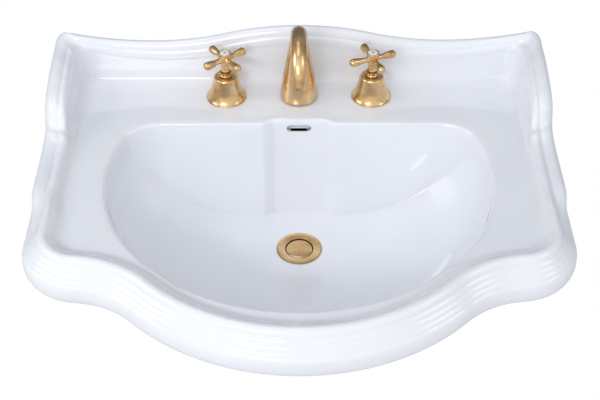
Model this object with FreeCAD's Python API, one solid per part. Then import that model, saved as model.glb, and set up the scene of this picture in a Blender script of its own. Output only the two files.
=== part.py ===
import FreeCAD, Part
import math
import os

# Washbasin for a pedestal, with a three-hole tap set and a push-button waste. Millimetres, +Z up.
# The origin is midway between the two wall-bolt holes, on the wall. +Y points into the wall.

V = FreeCAD.Vector
UP = V(0, 0, 1)

# --- Basin: driving dimensions ---------------------------------------------------------------
WIDTH = 685.0               # over the moulding
DEPTH = 545.0               # wall to the front of the bow
DECK_ABOVE_BOLTS = 60.0     # flat tap deck, above the wall bolts
BOW_RADIUS = 285.0          # front bow, in plan
CORNER_RADIUS = 76.0        # front corners, in plan
NOTCH_RADIUS = 115.0        # hollow curve between a corner and the bow
CORNER_FROM_WALL = 353.0    # centre of the corner arc
DECK_THICK = 14.0
DECK_CORNER = 22.0          # front corners of the deck, in plan
DECK_CORNER_AHEAD = 7.0     # of the moulding's corner centre
FRONT_RIM_HEIGHT = 15.0     # above the deck
FRONT_RIM_WIDTH = 58.0      # moulding edge to the foot of the rim, on the bow
SIDE_RIM_WIDTH = 40.5       # moulding edge to the foot of the rim, at the sides
WALL_INSET = 10.0           # outer face of a side wall, in from the moulding edge
RIM_TOP_INSET = 33.0        # inner edge of the rim's top, in from the moulding edge
TORUS_TOP = -8.0            # the big rounded moulding, from the deck
TORUS_BOTTOM = -42.0
TORUS_ROUND = 13.0
SKIRT_BOTTOM = -60.0
SKIRT_INSET = 14.0
SKIRT_THICK = 16.0

# Small steps between the big moulding and the rim's top: inset, top (from the deck), rounding
RIM_STEPS = [(8.0, -3.0, 2.5), (14.0, 3.0, 2.5), (19.0, FRONT_RIM_HEIGHT, 5.0)]

# Splash-back and side walls, heights above the deck
SPLASH_THICK = 21.0
SPLASH_TOP_THICK = 14.0
SPLASH_CREST = 82.0
SPLASH_TROUGH = 57.0
SPLASH_TROUGH_X = 205.0
SPLASH_END_RADIUS = 564.0   # hollow rise from the trough to the end
SIDE_WALL_HEIGHT = 63.0
SIDE_STEP_TOP = 53.0
SIDE_STEP_START = 108.0     # from the wall
SIDE_STEP_END = 180.0

# Bowl
BOWL_WIDTH = 500.0
BOWL_DEPTH = 144.0          # deck to the flange of the waste
BOWL_BACK = 125.0           # wall to the bowl's rear edge
BOWL_FRONT = 475.0          # wall to the bowl's front edge
BOWL_CORNER = 66.0
BOWL_LIP = 5.0
CHINA = 11.0                # wall thickness of the bowl
DRAIN_FROM_WALL = 220.0
BOWL_LEVELS = [0.04, 0.2, 0.4, 0.6, 0.76, 0.88, 0.96, 1.0]

# Niche and overflow
NICHE_WIDTH = 84.0
NICHE_SETBACK = 10.0
NICHE_STRAIGHT = 60.0       # deck to where the niche's rear wall starts to lean forward
NICHE_DROP = 114.0          # deck to where it runs out on the bowl's wall
OVERFLOW_WIDTH = 34.0
OVERFLOW_HEIGHT = 11.7
OVERFLOW_TOP = 8.6          # below the deck
DUCT_WIDTH = 38.0
DUCT_DEPTH = 12.0
DUCT_RUN = 10.0             # height of the level run to the waste
DUCT_WALL = 8.0

# Underside
WASTE_BOSS = 76.0
WASTE_SEAT = 172.0          # deck to the flat underside that the waste nut clamps
FOOT_DEPTH = 186.0          # deck to the pedestal seat
FOOT_DIAMETER = 210.0
FOOT_THICK = 14.0
FOOT_GAP = 110.0            # opening in the rear of the foot, for the pipes
BACK_PANEL_WIDTH = 380.0
BACK_PANEL_DROP = 112.0
BOLT_SPACING = 280.0
BOLT_HOLE = 14.0

# --- Taps and spout: driving dimensions -------------------------------------------------------
TAP_FROM_WALL = 60.0
TAP_SPACING = 203.2
TAP_HOLE = 35.0
FIT = 0.05                  # radial clearance of screwed and turning fits
LOOSE = 0.5                 # radial clearance of washers on their threads
GAP = 0.3                   # clearance between parts that turn past each other

GASKET_THICK = 2.0
CLAMP_THICK = 2.5
BACKNUT_THICK = 8.0
BACKNUT_FLATS = 40.0
SHANK_DIAMETER = 28.0

BELL_BASE = 57.0
BELL_TOP = 29.0
BELL_SHOULDER = 2.5         # rounding of the bell's top edge
BELL_HEIGHT = 36.0
BELL_WALL = 2.5
BELL_HOLLOW = 1.6           # depth of the flare's hollow
BELL_SKIRT = 3.0
VALVE_BOTTOM = 92.0         # deck to the inlet end
VALVE_PORT = 66.0           # deck to the side outlet
INLET_DIAMETER = 20.8
WATERWAY = 13.0
VALVE_TOP = 14.0
VALVE_FLANGE = 42.0
VALVE_FLANGE_THICK = 4.0
CARTRIDGE_SEAT = 12.0       # top of the valve body to the step the cartridge screws down to
CARTRIDGE_HEX = 20.0
CARTRIDGE_HEX_THICK = 6.0
CARTRIDGE_BORE = 13.0
CARTRIDGE_THREAD = 17.0
CARTRIDGE_NECK = 16.0
SPINDLE_FOOT = 6.0          # thickness of the spindle's wide foot
SCREW_DEPTH = 10.0
CARTRIDGE_TOP = 42.0
DISC_THICK = 3.0
SEAT_SEAL_THICK = 2.0
SPINDLE_DIAMETER = 8.0
SPINDLE_TOP = 60.0
COLLAR_DIAMETER = 18.5
COLLAR_HEIGHT = 7.0

HUB_DIAMETER = 17.0
HUB_BOTTOM = 45.0
HUB_SKIRT = 8.0             # height of the cone under the hub
HUB_TOP = 70.4
ARM_HEIGHT = 63.5
ARM_REACH = 34.4
ARM_ROOT = 3.0
ARM_BULB = 5.6
HOT_ARM_ANGLE = 37.5
COLD_ARM_ANGLE = 21.0
CAP_DIAMETER = 17.0
CAP_HEIGHT = 3.5
DISC_DIAMETER = 14.0
INDEX_THICK = 1.2
SCREW_DIAMETER = 4.0
SCREW_HEAD = 7.5
SCREW_HEAD_THICK = 2.5

SPOUT_BASE = 52.4
SPOUT_FOOT = 4.0            # height of the foot's upright edge
SPOUT_SWELL = 0.6           # bulge of the cone's side
SPOUT_ROOT = 28.4           # diameter at the start of the arch
SPOUT_NECK = 21.5           # diameter at the top of the arch
SPOUT_TIP = 23.0
SPOUT_DROP = 14.0           # straight length past the arch
SPOUT_SOCKET = 14.0         # depth of the shank in the foot
SPOUT_RISE = 80.0           # deck to the start of the arch
ARCH_RADIUS = 44.0
ARCH_SWEEP = 165.0          # degrees
SPOUT_BORE = 13.0
AERATOR_DIAMETER = 19.0
AERATOR_THICK = 7.0
AERATOR_PROUD = 1.0
SPOUT_SHANK_BOTTOM = 56.0
TEE_DIAMETER = 34.0
TEE_HEIGHT = 30.0

TUBE_DIAMETER = 10.0
TUBE_WALL = 1.0
TUBE_BEND = 22.0
TUBE_DROP = 10.0            # height between the valve port and the tee port
TUBE_NUT_FLATS = 18.0
TUBE_NUT_LENGTH = 12.0
PORT_DIAMETER = 15.0
PORT_LENGTH = 9.0

# --- Waste: driving dimensions ----------------------------------------------------------------
FLANGE_DIAMETER = 60.6
FLANGE_THICK = 3.0
FLANGE_PROUD = 1.5
WASTE_THREAD = 41.8
WASTE_HOLE = 46.0
WASTE_WALL = 2.4
WASTE_OUTLET = 240.0        # deck to the lower end
WASTE_SLOT_WIDTH = 16.0
PLUG_DIAMETER = 36.8
PLUG_THICK = 4.0
PLUG_DOME = 1.6             # rise of the plug's top
PLUG_GAP = 1.2
PLUG_PROUD = 1.0
PLUG_LIFT = 8.0
PLUG_STEM = 8.0
SEAL_THICK = 2.5
SEAL_OVERHANG = 0.7         # seal's edge past the plug's edge
GUIDE_DIAMETER = 16.0
GUIDE_LENGTH = 34.0
SPRING_WIRE = 1.0
SPRING_COILS = 6
CROSS_BAR = 4.0
WASTE_WASHER = 62.0
WASTE_NUT_FLATS = 55.0
WASTE_NUT_THICK = 9.0
WASTE_RUBBER = 4.0          # washer under the china
WASTE_FRICTION = 1.5        # slip washer between the rubber and the nut
WASTE_RELIEF = 3.0          # length of the relief between the nut's thread and the trap's
WASTE_RELIEF_DEPTH = 0.6
SPRING_ROOM = 6.0           # stem's lower end, above the guide's
STEM_COLLAR_LOW = 8.0       # stem's lower end to its collar
STEM_COLLAR = 3.0
GUIDE_WALL = 2.0
PLUG_NECK = 14.0

# --- Places that follow from the dimensions ---------------------------------------------------
DECK = DECK_ABOVE_BOLTS
TAP_Y = -TAP_FROM_WALL
DRAIN_Y = -DRAIN_FROM_WALL
BOWL_FLOOR = DECK - BOWL_DEPTH
UNDER_DECK = DECK - DECK_THICK
WASTE_UNDER = DECK - WASTE_SEAT
WASTE_NUT_TOP = WASTE_UNDER - WASTE_RUBBER - WASTE_FRICTION
VERY_BIG = 1000.0


# --- Shape helpers ----------------------------------------------------------------------------
def rod(diameter, bottom, top, x=0.0, y=0.0):
    """Upright cylinder between two heights."""
    return Part.makeCylinder(diameter / 2, top - bottom, V(x, y, bottom))


def ring(outer, inner, bottom, top, x=0.0, y=0.0):
    """Upright tube between two heights."""
    return rod(outer, bottom, top, x, y).cut(rod(inner, bottom - 1, top + 1, x, y))


def block(x0, x1, y0, y1, z0, z1):
    """Box between two corners."""
    return Part.makeBox(x1 - x0, y1 - y0, z1 - z0, V(x0, y0, z0))


def hexagon(flats, bottom, top, x=0.0, y=0.0):
    """Upright hexagonal prism."""
    corners = [
        V(x + flats / math.sqrt(3) * math.cos(math.radians(60 * i)),
          y + flats / math.sqrt(3) * math.sin(math.radians(60 * i)), bottom)
        for i in range(7)
    ]
    return Part.Face(Part.makePolygon(corners)).extrude(V(0, 0, top - bottom))


def lathe(edges, x=0.0, y=0.0):
    """Solid of revolution about the upright line at (x, y), from edges drawn in the XZ plane."""
    solid = Part.Face(Part.Wire(edges)).revolve(V(0, 0, 0), UP, 360)
    solid.translate(V(x, y, 0))
    return solid


def line(a, b):
    """Straight edge."""
    return Part.makeLine(a, b)


def arc(a, middle, b):
    """Edge along a circle through three points."""
    return Part.Arc(a, middle, b).toShape()


def path(points):
    """Edges joining points in turn."""
    return [line(a, b) for a, b in zip(points, points[1:])]


def polar(centre, radius, angle):
    """Point on a level circle; the angle is in radians."""
    return V(centre.x + radius * math.cos(angle), centre.y + radius * math.sin(angle), centre.z)


def s_curve(a, b, across):
    """Two equal tangent arcs from a to b, which both run along the direction across."""
    middle = (a + b) * 0.5
    half = middle - a
    along = half.dot(across)
    rise = half - across * along
    radius = (along ** 2 + rise.Length ** 2) / (2 * rise.Length)
    towards = rise * (1 / rise.Length)
    turn = math.atan2(along, radius - rise.Length)
    first = a + towards * radius
    second = b - towards * radius
    near = first - towards * (radius * math.cos(turn / 2)) + across * (radius * math.sin(turn / 2))
    far = second + towards * (radius * math.cos(turn / 2)) - across * (radius * math.sin(turn / 2))
    return [arc(a, near, middle), arc(middle, far, b)]


def fuse_all(shapes):
    """One shape from several that touch."""
    return shapes[0].multiFuse(shapes[1:]).removeSplitter()


# --- Basin ------------------------------------------------------------------------------------
def plan_wire(z, half_width, corner, corner_y, notch, bow, bow_y, back_y):
    """Closed plan outline: back, straight sides, round corners, hollow notches and the bow."""
    corner_at = V(half_width - corner, corner_y, z)
    bow_at = V(0, bow_y, z)
    apart = corner_at - bow_at
    reach_corner = corner + notch
    reach_bow = bow + notch
    along = (reach_bow ** 2 - reach_corner ** 2 + apart.Length ** 2) / (2 * apart.Length)
    aside = math.sqrt(reach_bow ** 2 - along ** 2)
    unit = apart * (1 / apart.Length)
    notch_at = bow_at + unit * along + V(unit.y, -unit.x, 0) * aside

    leave_side = V(half_width, corner_y, z)
    enter_notch = corner_at + (notch_at - corner_at) * (corner / reach_corner)
    leave_notch = bow_at + (notch_at - bow_at) * (bow / reach_bow)
    turn_corner = math.atan2(enter_notch.y - corner_at.y, enter_notch.x - corner_at.x)
    from_corner = math.atan2(enter_notch.y - notch_at.y, enter_notch.x - notch_at.x)
    from_bow = math.atan2(leave_notch.y - notch_at.y, leave_notch.x - notch_at.x)

    half = [
        (V(half_width, back_y, z), None, leave_side),
        (leave_side, polar(corner_at, corner, turn_corner / 2), enter_notch),
        (enter_notch, polar(notch_at, notch, (from_corner + from_bow) / 2), leave_notch),
    ]
    right = [line(a, b) if middle is None else arc(a, middle, b) for a, middle, b in half]
    left = [edge.mirror(V(0, 0, 0), V(1, 0, 0)) for edge in right]
    front = arc(leave_notch, V(0, bow_y - bow, z), V(-leave_notch.x, leave_notch.y, z))
    back = line(V(-half_width, back_y, z), V(half_width, back_y, z))
    return Part.Wire(Part.__sortEdges__([back, front] + right + left))


def outline_wire(inset, z):
    """The basin's outline in plan, moved in from the moulding edge along the sides and front."""
    return plan_wire(
        z, WIDTH / 2 - inset, CORNER_RADIUS - inset, -CORNER_FROM_WALL, NOTCH_RADIUS + inset,
        BOW_RADIUS - inset, BOW_RADIUS - DEPTH, 0.0)


def outline_slab(inset, bottom, top, rounding=0.0):
    """Slab of the outline, with its edges rounded except along the wall."""
    slab = Part.Face(outline_wire(inset, bottom)).extrude(V(0, 0, top - bottom))
    if rounding == 0.0:
        return slab
    edges = [e for e in slab.Edges if level_edge(e, top) or level_edge(e, bottom)]
    return slab.makeFillet(rounding, edges)


def level_edge(edge, z):
    """True for an edge at height z that doesn't run along the wall."""
    box = edge.BoundBox
    return abs(box.ZMax - z) < 1e-6 and abs(box.ZMin - z) < 1e-6 and box.YMin < -1e-6


def deck_pocket():
    """Room inside the rim, above the deck: a flared foot, then upright to the top."""
    foot_width = WIDTH / 2 - SIDE_RIM_WIDTH
    foot = plan_wire(
        DECK, foot_width, DECK_CORNER, -CORNER_FROM_WALL - DECK_CORNER_AHEAD,
        NOTCH_RADIUS + FRONT_RIM_WIDTH, BOW_RADIUS - FRONT_RIM_WIDTH, BOW_RADIUS - DEPTH, -SPLASH_THICK)
    rim = DECK + FRONT_RIM_HEIGHT
    top_values = (
        WIDTH / 2 - RIM_TOP_INSET, CORNER_RADIUS - RIM_TOP_INSET, -CORNER_FROM_WALL,
        NOTCH_RADIUS + RIM_TOP_INSET, BOW_RADIUS - RIM_TOP_INSET, BOW_RADIUS - DEPTH,
        -SPLASH_TOP_THICK)
    top = plan_wire(rim, *top_values)
    flare = Part.makeLoft([foot, top], True, True)
    upright = Part.Face(top).extrude(V(0, 0, SPLASH_CREST + 10.0))
    return flare.fuse(upright)


def splash_back():
    """Plate along the wall, with a waved top."""
    end_x = WIDTH / 2 - WALL_INSET
    z = DECK
    crest = V(0, 0, z + SPLASH_CREST)
    trough = V(SPLASH_TROUGH_X, 0, z + SPLASH_TROUGH)
    run = end_x - SPLASH_TROUGH_X

    def hollow(x):
        return V(SPLASH_TROUGH_X + x, 0, trough.z + SPLASH_END_RADIUS
                 - math.sqrt(SPLASH_END_RADIUS ** 2 - x ** 2))

    end = hollow(run)
    right = s_curve(crest, trough, V(1, 0, 0))
    right += [arc(trough, hollow(run / 2), end), line(end, V(end_x, 0, z - DECK_THICK))]
    left = [edge.mirror(V(0, 0, 0), V(1, 0, 0)) for edge in right]
    bottom = line(V(-end_x, 0, z - DECK_THICK), V(end_x, 0, z - DECK_THICK))
    face = Part.Face(Part.Wire(Part.__sortEdges__(right + left + [bottom])))
    return face.extrude(V(0, -SPLASH_THICK, 0))


def side_wall(side):
    """Tall part of a side wall, with the S-shaped step down to the front rim."""
    rim = DECK + FRONT_RIM_HEIGHT - 1.0
    at_wall = V(0, 0, DECK + SIDE_WALL_HEIGHT)
    shoulder = V(0, -SIDE_STEP_START, DECK + SIDE_STEP_TOP)
    landing = V(0, -SIDE_STEP_END, rim)
    belly = V(0, -SIDE_STEP_START / 2, DECK + SIDE_WALL_HEIGHT - 2.0)
    edges = [arc(at_wall, belly, shoulder)]
    edges += s_curve(shoulder, landing, V(0, -1, 0))
    edges += path([landing, V(0, -SIDE_STEP_END, DECK), V(0, 0, DECK), at_wall])
    wall = Part.Face(Part.Wire(edges)).extrude(V(SIDE_RIM_WIDTH - WALL_INSET, 0, 0))
    wall.translate(V(WIDTH / 2 - SIDE_RIM_WIDTH, 0, 0))
    return wall if side > 0 else wall.mirror(V(0, 0, 0), V(1, 0, 0))


def bowl_wire(share, z, grow):
    """Level section of the bowl at a share of its depth, moved out by grow."""
    round_wall = math.sqrt(max(1 - share ** 2.6, 0.0))
    steep_wall = math.sqrt(max(1 - share ** 4, 0.0))
    small = FLANGE_DIAMETER / 2 + 3.0
    half = max(BOWL_WIDTH / 2 * round_wall, small) + grow
    front = -DRAIN_FROM_WALL - max((BOWL_FRONT - DRAIN_FROM_WALL) * round_wall, small) - grow
    back = -DRAIN_FROM_WALL + max((DRAIN_FROM_WALL - BOWL_BACK) * steep_wall, small) + grow
    corner = min(BOWL_CORNER * steep_wall + 20.0 * share, (half - 1.0) * 0.8) + grow * 0.5
    corner = min(corner, half - 4.0, back + DRAIN_FROM_WALL + 8.0)
    widest = back - corner - 2.0
    across = V(half, widest, z)
    depth = widest - front
    ellipse = Part.Ellipse(V(0, widest, z), max(half, depth), min(half, depth))
    if depth > half:
        ellipse.rotate(FreeCAD.Placement(V(0, widest, z), UP, 90))
        low, high = math.pi / 2, 3 * math.pi / 2
    else:
        low, high = math.pi, 2 * math.pi
    bow = ellipse.toShape(low, high)
    turn = corner * math.sqrt(0.5)
    centre = V(half - corner, back - corner, z)
    right = [
        line(V(half, widest, z), V(half, back - corner, z)),
        arc(V(half, back - corner, z), V(centre.x + turn, centre.y + turn, z),
            V(centre.x, back, z)),
    ]
    left = [edge.mirror(V(0, 0, 0), V(1, 0, 0)) for edge in right]
    rear = line(V(-centre.x, back, z), V(centre.x, back, z))
    return Part.Wire(Part.__sortEdges__([bow, rear] + right + left))


def bowl_inside():
    """Space inside the bowl, from above the deck down to the flange of the waste."""
    wires = [bowl_wire(0.0, DECK + 1.0, BOWL_LIP + 1.0), bowl_wire(0.0, DECK, BOWL_LIP)]
    wires += [bowl_wire(s, DECK - s * BOWL_DEPTH, 0.0) for s in BOWL_LEVELS]
    return Part.makeLoft(wires, True, True)


def bowl_outside():
    """Outer face of the bowl's wall."""
    wires = [bowl_wire(0.0, UNDER_DECK + 2.0, CHINA)]
    wires += [bowl_wire(s, DECK - CHINA - s * BOWL_DEPTH, CHINA) for s in BOWL_LEVELS]
    return Part.makeLoft(wires, True, True)


def duct_positions():
    """Front and rear of the overflow duct, from the niche's rear wall."""
    front = -BOWL_BACK + NICHE_SETBACK + DUCT_WALL
    return front, front + DUCT_DEPTH


def niche():
    """Upright recess in the rear wall of the bowl, which runs out lower down."""
    rear = -BOWL_BACK + NICHE_SETBACK
    run_out = -DRAIN_FROM_WALL + (DRAIN_FROM_WALL - BOWL_BACK) * math.sqrt(
        1 - (NICHE_DROP / BOWL_DEPTH) ** 4)
    bend = DECK - (NICHE_STRAIGHT + NICHE_DROP) / 2
    side = -NICHE_WIDTH / 2
    corners = [
        V(side, rear, DECK + 1), V(side, rear - 1.5, DECK - NICHE_STRAIGHT),
        V(side, (2 * rear + run_out) / 3, bend), V(side, run_out, DECK - NICHE_DROP),
        V(side, DRAIN_Y, DECK - NICHE_DROP), V(side, DRAIN_Y, DECK + 1), V(side, rear, DECK + 1),
    ]
    recess = Part.Face(Part.makePolygon(corners)).extrude(V(NICHE_WIDTH, 0, 0))
    return recess.common(bowl_reach())


def bowl_reach():
    """The bowl's inside together with the same shape pushed back by the niche's setback."""
    inside = bowl_inside()
    pushed = inside.copy()
    pushed.translate(V(0, NICHE_SETBACK, 0))
    return inside.fuse(pushed)


def basin():
    """The vitreous china, one fired piece."""
    skirt = outline_slab(SKIRT_INSET, DECK + SKIRT_BOTTOM, DECK)
    torus = outline_slab(0.0, DECK + TORUS_BOTTOM, DECK + TORUS_TOP, TORUS_ROUND)
    steps = [
        outline_slab(inset, DECK + TORUS_TOP - 6.0, DECK + top, rounding)
        for inset, top, rounding in RIM_STEPS
    ]
    walls = [splash_back(), side_wall(1), side_wall(-1)]
    shell = fuse_all([skirt, torus] + steps + walls).cut(deck_pocket())

    under = Part.Face(outline_wire(SKIRT_INSET + SKIRT_THICK, DECK + SKIRT_BOTTOM - 1))
    under = under.extrude(V(0, 0, UNDER_DECK - DECK - SKIRT_BOTTOM + 1))
    under = under.common(block(-WIDTH, WIDTH, -DEPTH, -SKIRT_THICK, -VERY_BIG, VERY_BIG))
    shell = shell.cut(under)

    duct_front, duct_rear = duct_positions()
    duct_low = DECK - WASTE_SEAT + DUCT_WALL
    half = DUCT_WIDTH / 2 + DUCT_WALL
    foot = ring(FOOT_DIAMETER, FOOT_DIAMETER - 2 * FOOT_THICK, DECK - FOOT_DEPTH,
                BOWL_FLOOR + CHINA, 0, DRAIN_Y)
    foot = foot.cut(block(-FOOT_GAP / 2, FOOT_GAP / 2, DRAIN_Y, 0, -VERY_BIG, WASTE_UNDER))
    solid = fuse_all([
        shell,
        bowl_outside(),
        block(-NICHE_WIDTH / 2 - CHINA, NICHE_WIDTH / 2 + CHINA, -BOWL_BACK - CHINA,
              -BOWL_BACK + NICHE_SETBACK + CHINA, DECK - NICHE_STRAIGHT - CHINA, UNDER_DECK + 1),
        block(-half, half, -BOWL_BACK - CHINA, duct_rear + DUCT_WALL, WASTE_UNDER, UNDER_DECK + 1),
        block(-half, half, DRAIN_Y, duct_rear + DUCT_WALL, WASTE_UNDER,
              WASTE_UNDER + 2 * DUCT_WALL + DUCT_RUN),
        rod(WASTE_BOSS, WASTE_UNDER, BOWL_FLOOR, 0, DRAIN_Y),
        foot,
        block(-BACK_PANEL_WIDTH / 2, BACK_PANEL_WIDTH / 2, -SKIRT_THICK, 0,
              DECK - BACK_PANEL_DROP, UNDER_DECK + 1),
    ])
    cuts = [
        bowl_inside(),
        niche(),
        block(-OVERFLOW_WIDTH / 2, OVERFLOW_WIDTH / 2, -BOWL_BACK, duct_front + 1,
              DECK - OVERFLOW_TOP - OVERFLOW_HEIGHT, DECK - OVERFLOW_TOP),
        block(-DUCT_WIDTH / 2, DUCT_WIDTH / 2, duct_front, duct_rear, duct_low,
              UNDER_DECK + DUCT_WALL / 2),
        block(-DUCT_WIDTH / 2, DUCT_WIDTH / 2, DRAIN_Y, duct_front + 1, duct_low,
              duct_low + DUCT_RUN),
        rod(WASTE_HOLE, -VERY_BIG, BOWL_FLOOR + 1, 0, DRAIN_Y),
        rod(FLANGE_DIAMETER + 2 * LOOSE, flange_seat(), BOWL_FLOOR + 1, 0, DRAIN_Y),
    ]
    for x in (-TAP_SPACING / 2, 0.0, TAP_SPACING / 2):
        cuts.append(rod(TAP_HOLE, UNDER_DECK - 1, DECK + 1, x, TAP_Y))
    for x in (-BOLT_SPACING / 2, BOLT_SPACING / 2):
        cuts.append(Part.makeCylinder(BOLT_HOLE / 2, 4 * SKIRT_THICK, V(x, 1, 0), V(0, -1, 0)))
    return solid.cut(cuts)


def flange_seat():
    """Height that the rubber ring under the waste flange sits on."""
    return BOWL_FLOOR + FLANGE_PROUD - FLANGE_THICK - GASKET_THICK


# --- Taps -------------------------------------------------------------------------------------
def tap_gasket(x):
    """Rubber washer between the deck and a tap's base."""
    return ring(BELL_TOP + 20.0, SHANK_DIAMETER + 2 * LOOSE, DECK, DECK + GASKET_THICK, x, TAP_Y)


def clamp_washer(x):
    """Brass washer under the deck."""
    top = UNDER_DECK
    return ring(BACKNUT_FLATS + 4.0, SHANK_DIAMETER + 2 * LOOSE, top - CLAMP_THICK, top, x, TAP_Y)


def backnut(x):
    """Hexagonal nut that pulls a shank down onto the deck."""
    top = UNDER_DECK - CLAMP_THICK
    nut = hexagon(BACKNUT_FLATS, top - BACKNUT_THICK, top, x, TAP_Y)
    return nut.cut(rod(SHANK_DIAMETER + 2 * FIT, -VERY_BIG, VERY_BIG, x, TAP_Y))


def port(x, toward, z, diameter, start, length):
    """Level stub from an upright body, along X."""
    return Part.makeCylinder(diameter / 2, length, V(x + toward * start, TAP_Y, z),
                             V(toward, 0, 0))


def valve_body(x, toward):
    """Forged brass side valve: inlet below, outlet stub to the spout, bore for the cartridge."""
    flange_low = DECK + GASKET_THICK
    body = fuse_all([
        rod(SHANK_DIAMETER, DECK - VALVE_PORT - 12.0, flange_low + 1, x, TAP_Y),
        rod(VALVE_FLANGE, flange_low, flange_low + VALVE_FLANGE_THICK, x, TAP_Y),
        rod(SHANK_DIAMETER, flange_low + 3.0, DECK + VALVE_TOP, x, TAP_Y),
        rod(INLET_DIAMETER, DECK - VALVE_BOTTOM, DECK - VALVE_PORT - 11.0, x, TAP_Y),
        port(x, toward, DECK - VALVE_PORT, PORT_DIAMETER, 0, SHANK_DIAMETER / 2 + PORT_LENGTH),
    ])
    return body.cut([
        rod(WATERWAY, -VERY_BIG, VERY_BIG, x, TAP_Y),
        rod(CARTRIDGE_THREAD + 2 * FIT, cartridge_foot(), VERY_BIG, x, TAP_Y),
        port(x, toward, DECK - VALVE_PORT, TUBE_DIAMETER + 2 * FIT, 0, VERY_BIG),
    ])


def cartridge_foot():
    """Height of the step in the valve body that the cartridge screws down to."""
    return DECK + VALVE_TOP - CARTRIDGE_SEAT


def disc_floor():
    """Underside of the fixed ceramic disc."""
    return cartridge_foot() + SEAT_SEAL_THICK


def cartridge(x):
    """Screwed brass housing that holds the two ceramic discs and guides the spindle."""
    foot = cartridge_foot()
    top = DECK + CARTRIDGE_TOP
    hex_top = DECK + VALVE_TOP + CARTRIDGE_HEX_THICK
    body = fuse_all([
        rod(CARTRIDGE_THREAD, foot, DECK + VALVE_TOP + 1, x, TAP_Y),
        hexagon(CARTRIDGE_HEX, DECK + VALVE_TOP, hex_top, x, TAP_Y),
        rod(CARTRIDGE_NECK, hex_top - 1, top, x, TAP_Y),
    ])
    return body.cut([
        rod(CARTRIDGE_BORE, foot - 1, spindle_shoulder() + GAP, x, TAP_Y),
        rod(SPINDLE_DIAMETER + 2 * FIT, -VERY_BIG, VERY_BIG, x, TAP_Y),
    ])


def seat_seal(x):
    """Rubber ring under the fixed disc."""
    foot = cartridge_foot()
    return ring(CARTRIDGE_BORE - 2 * GAP, WATERWAY - 5.0, foot, foot + SEAT_SEAL_THICK, x, TAP_Y)


def spindle_shoulder():
    """Top of the spindle's wide foot."""
    return disc_floor() + 2 * DISC_THICK + SPINDLE_FOOT


def half_moon(x, bottom, toward):
    """Ceramic disc with a D-shaped port on one side."""
    disc = rod(CARTRIDGE_BORE - 2 * GAP, bottom, bottom + DISC_THICK, x, TAP_Y)
    cut = rod(CARTRIDGE_BORE - 5.0, bottom - 1, bottom + DISC_THICK + 1, x, TAP_Y)
    side = 20.0
    web = 1.0
    low = TAP_Y + web if toward > 0 else TAP_Y - web - side
    return disc.cut(cut.common(block(x - side, x + side, low, low + side, -VERY_BIG, VERY_BIG)))


def spindle(x):
    """Brass stem with a wide foot that turns the upper disc, and a square-cut top."""
    low = disc_floor() + 2 * DISC_THICK
    return fuse_all([
        rod(CARTRIDGE_BORE - 2 * GAP, low, spindle_shoulder(), x, TAP_Y),
        rod(SPINDLE_DIAMETER, low, DECK + SPINDLE_TOP, x, TAP_Y),
    ]).cut(rod(SCREW_DIAMETER + 2 * FIT, DECK + SPINDLE_TOP - SCREW_DEPTH, VERY_BIG, x, TAP_Y))


def bell_curve(base, top, height, z):
    """Bell outline from the skirt up to the flat top: a hollow flare, then a rounded edge."""
    foot = V(base / 2, 0, z + BELL_SKIRT)
    edge = V(top / 2 + BELL_SHOULDER, 0, z + height - 2 * BELL_SHOULDER)
    crown = V(top / 2, 0, z + height)
    hollow = V((foot.x + edge.x) / 2 - BELL_HOLLOW, 0, (foot.z + edge.z) / 2 - BELL_HOLLOW / 2)
    swell = V((edge.x + crown.x) / 2 + BELL_SHOULDER / 3, 0,
              (edge.z + crown.z) / 2 + BELL_SHOULDER / 3)
    return [arc(foot, hollow, edge), arc(edge, swell, crown)]


def bell_solid(base, top, height, z):
    """Solid bell standing at height z."""
    edges = [line(V(0, 0, z), V(base / 2, 0, z)), line(V(base / 2, 0, z),
                                                     V(base / 2, 0, z + BELL_SKIRT))]
    edges += bell_curve(base, top, height, z)
    edges += path([V(top / 2, 0, z + height), V(0, 0, z + height), V(0, 0, z)])
    return lathe(edges)


def bell_escutcheon(x):
    """Thin brass bell that hides the valve and stands on the deck."""
    shell = bell_solid(BELL_BASE, BELL_TOP, BELL_HEIGHT, DECK)
    inside = bell_solid(BELL_BASE - 2 * BELL_WALL, BELL_TOP - 2 * BELL_WALL + 1.0,
                        BELL_HEIGHT - BELL_WALL, DECK)
    bell = shell.cut([
        inside,
        rod(CARTRIDGE_NECK + 2 * FIT, -VERY_BIG, VERY_BIG),
    ])
    bell.translate(V(x, TAP_Y, 0))
    return bell


def gland_collar(x):
    """Ring that screws onto the cartridge and holds the bell down."""
    low = DECK + BELL_HEIGHT
    collar = rod(COLLAR_DIAMETER, low, low + COLLAR_HEIGHT, x, TAP_Y)
    collar = collar.makeFillet(1.8, [e for e in collar.Edges if e.Closed])
    return collar.cut(rod(CARTRIDGE_NECK + 2 * FIT, -VERY_BIG, VERY_BIG, x, TAP_Y))


def handle_arm(angle):
    """Teardrop arm, turned about its own level axis and swung to an angle in degrees."""
    z = DECK + ARM_HEIGHT
    bulb_at = ARM_REACH - ARM_BULB
    root = V(HUB_DIAMETER / 2 - 4.0, 0, z)
    waist = V(root.x, 0, z + ARM_ROOT)
    touch = V(bulb_at - 2.5, 0, z + math.sqrt(ARM_BULB ** 2 - 2.5 ** 2))
    sweep = V((waist.x + touch.x) / 2, 0, (waist.z + touch.z) / 2 - 0.7)
    tip = V(ARM_REACH, 0, z)
    crown = V(bulb_at + ARM_BULB * math.sin(0.5), 0, z + ARM_BULB * math.cos(0.5))
    edges = [line(root, waist), arc(waist, sweep, touch), arc(touch, crown, tip), line(tip, root)]
    arm = Part.Face(Part.Wire(edges)).revolve(V(0, 0, z), V(1, 0, 0), 360)
    arm.rotate(V(0, 0, 0), UP, angle)
    return arm


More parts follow.
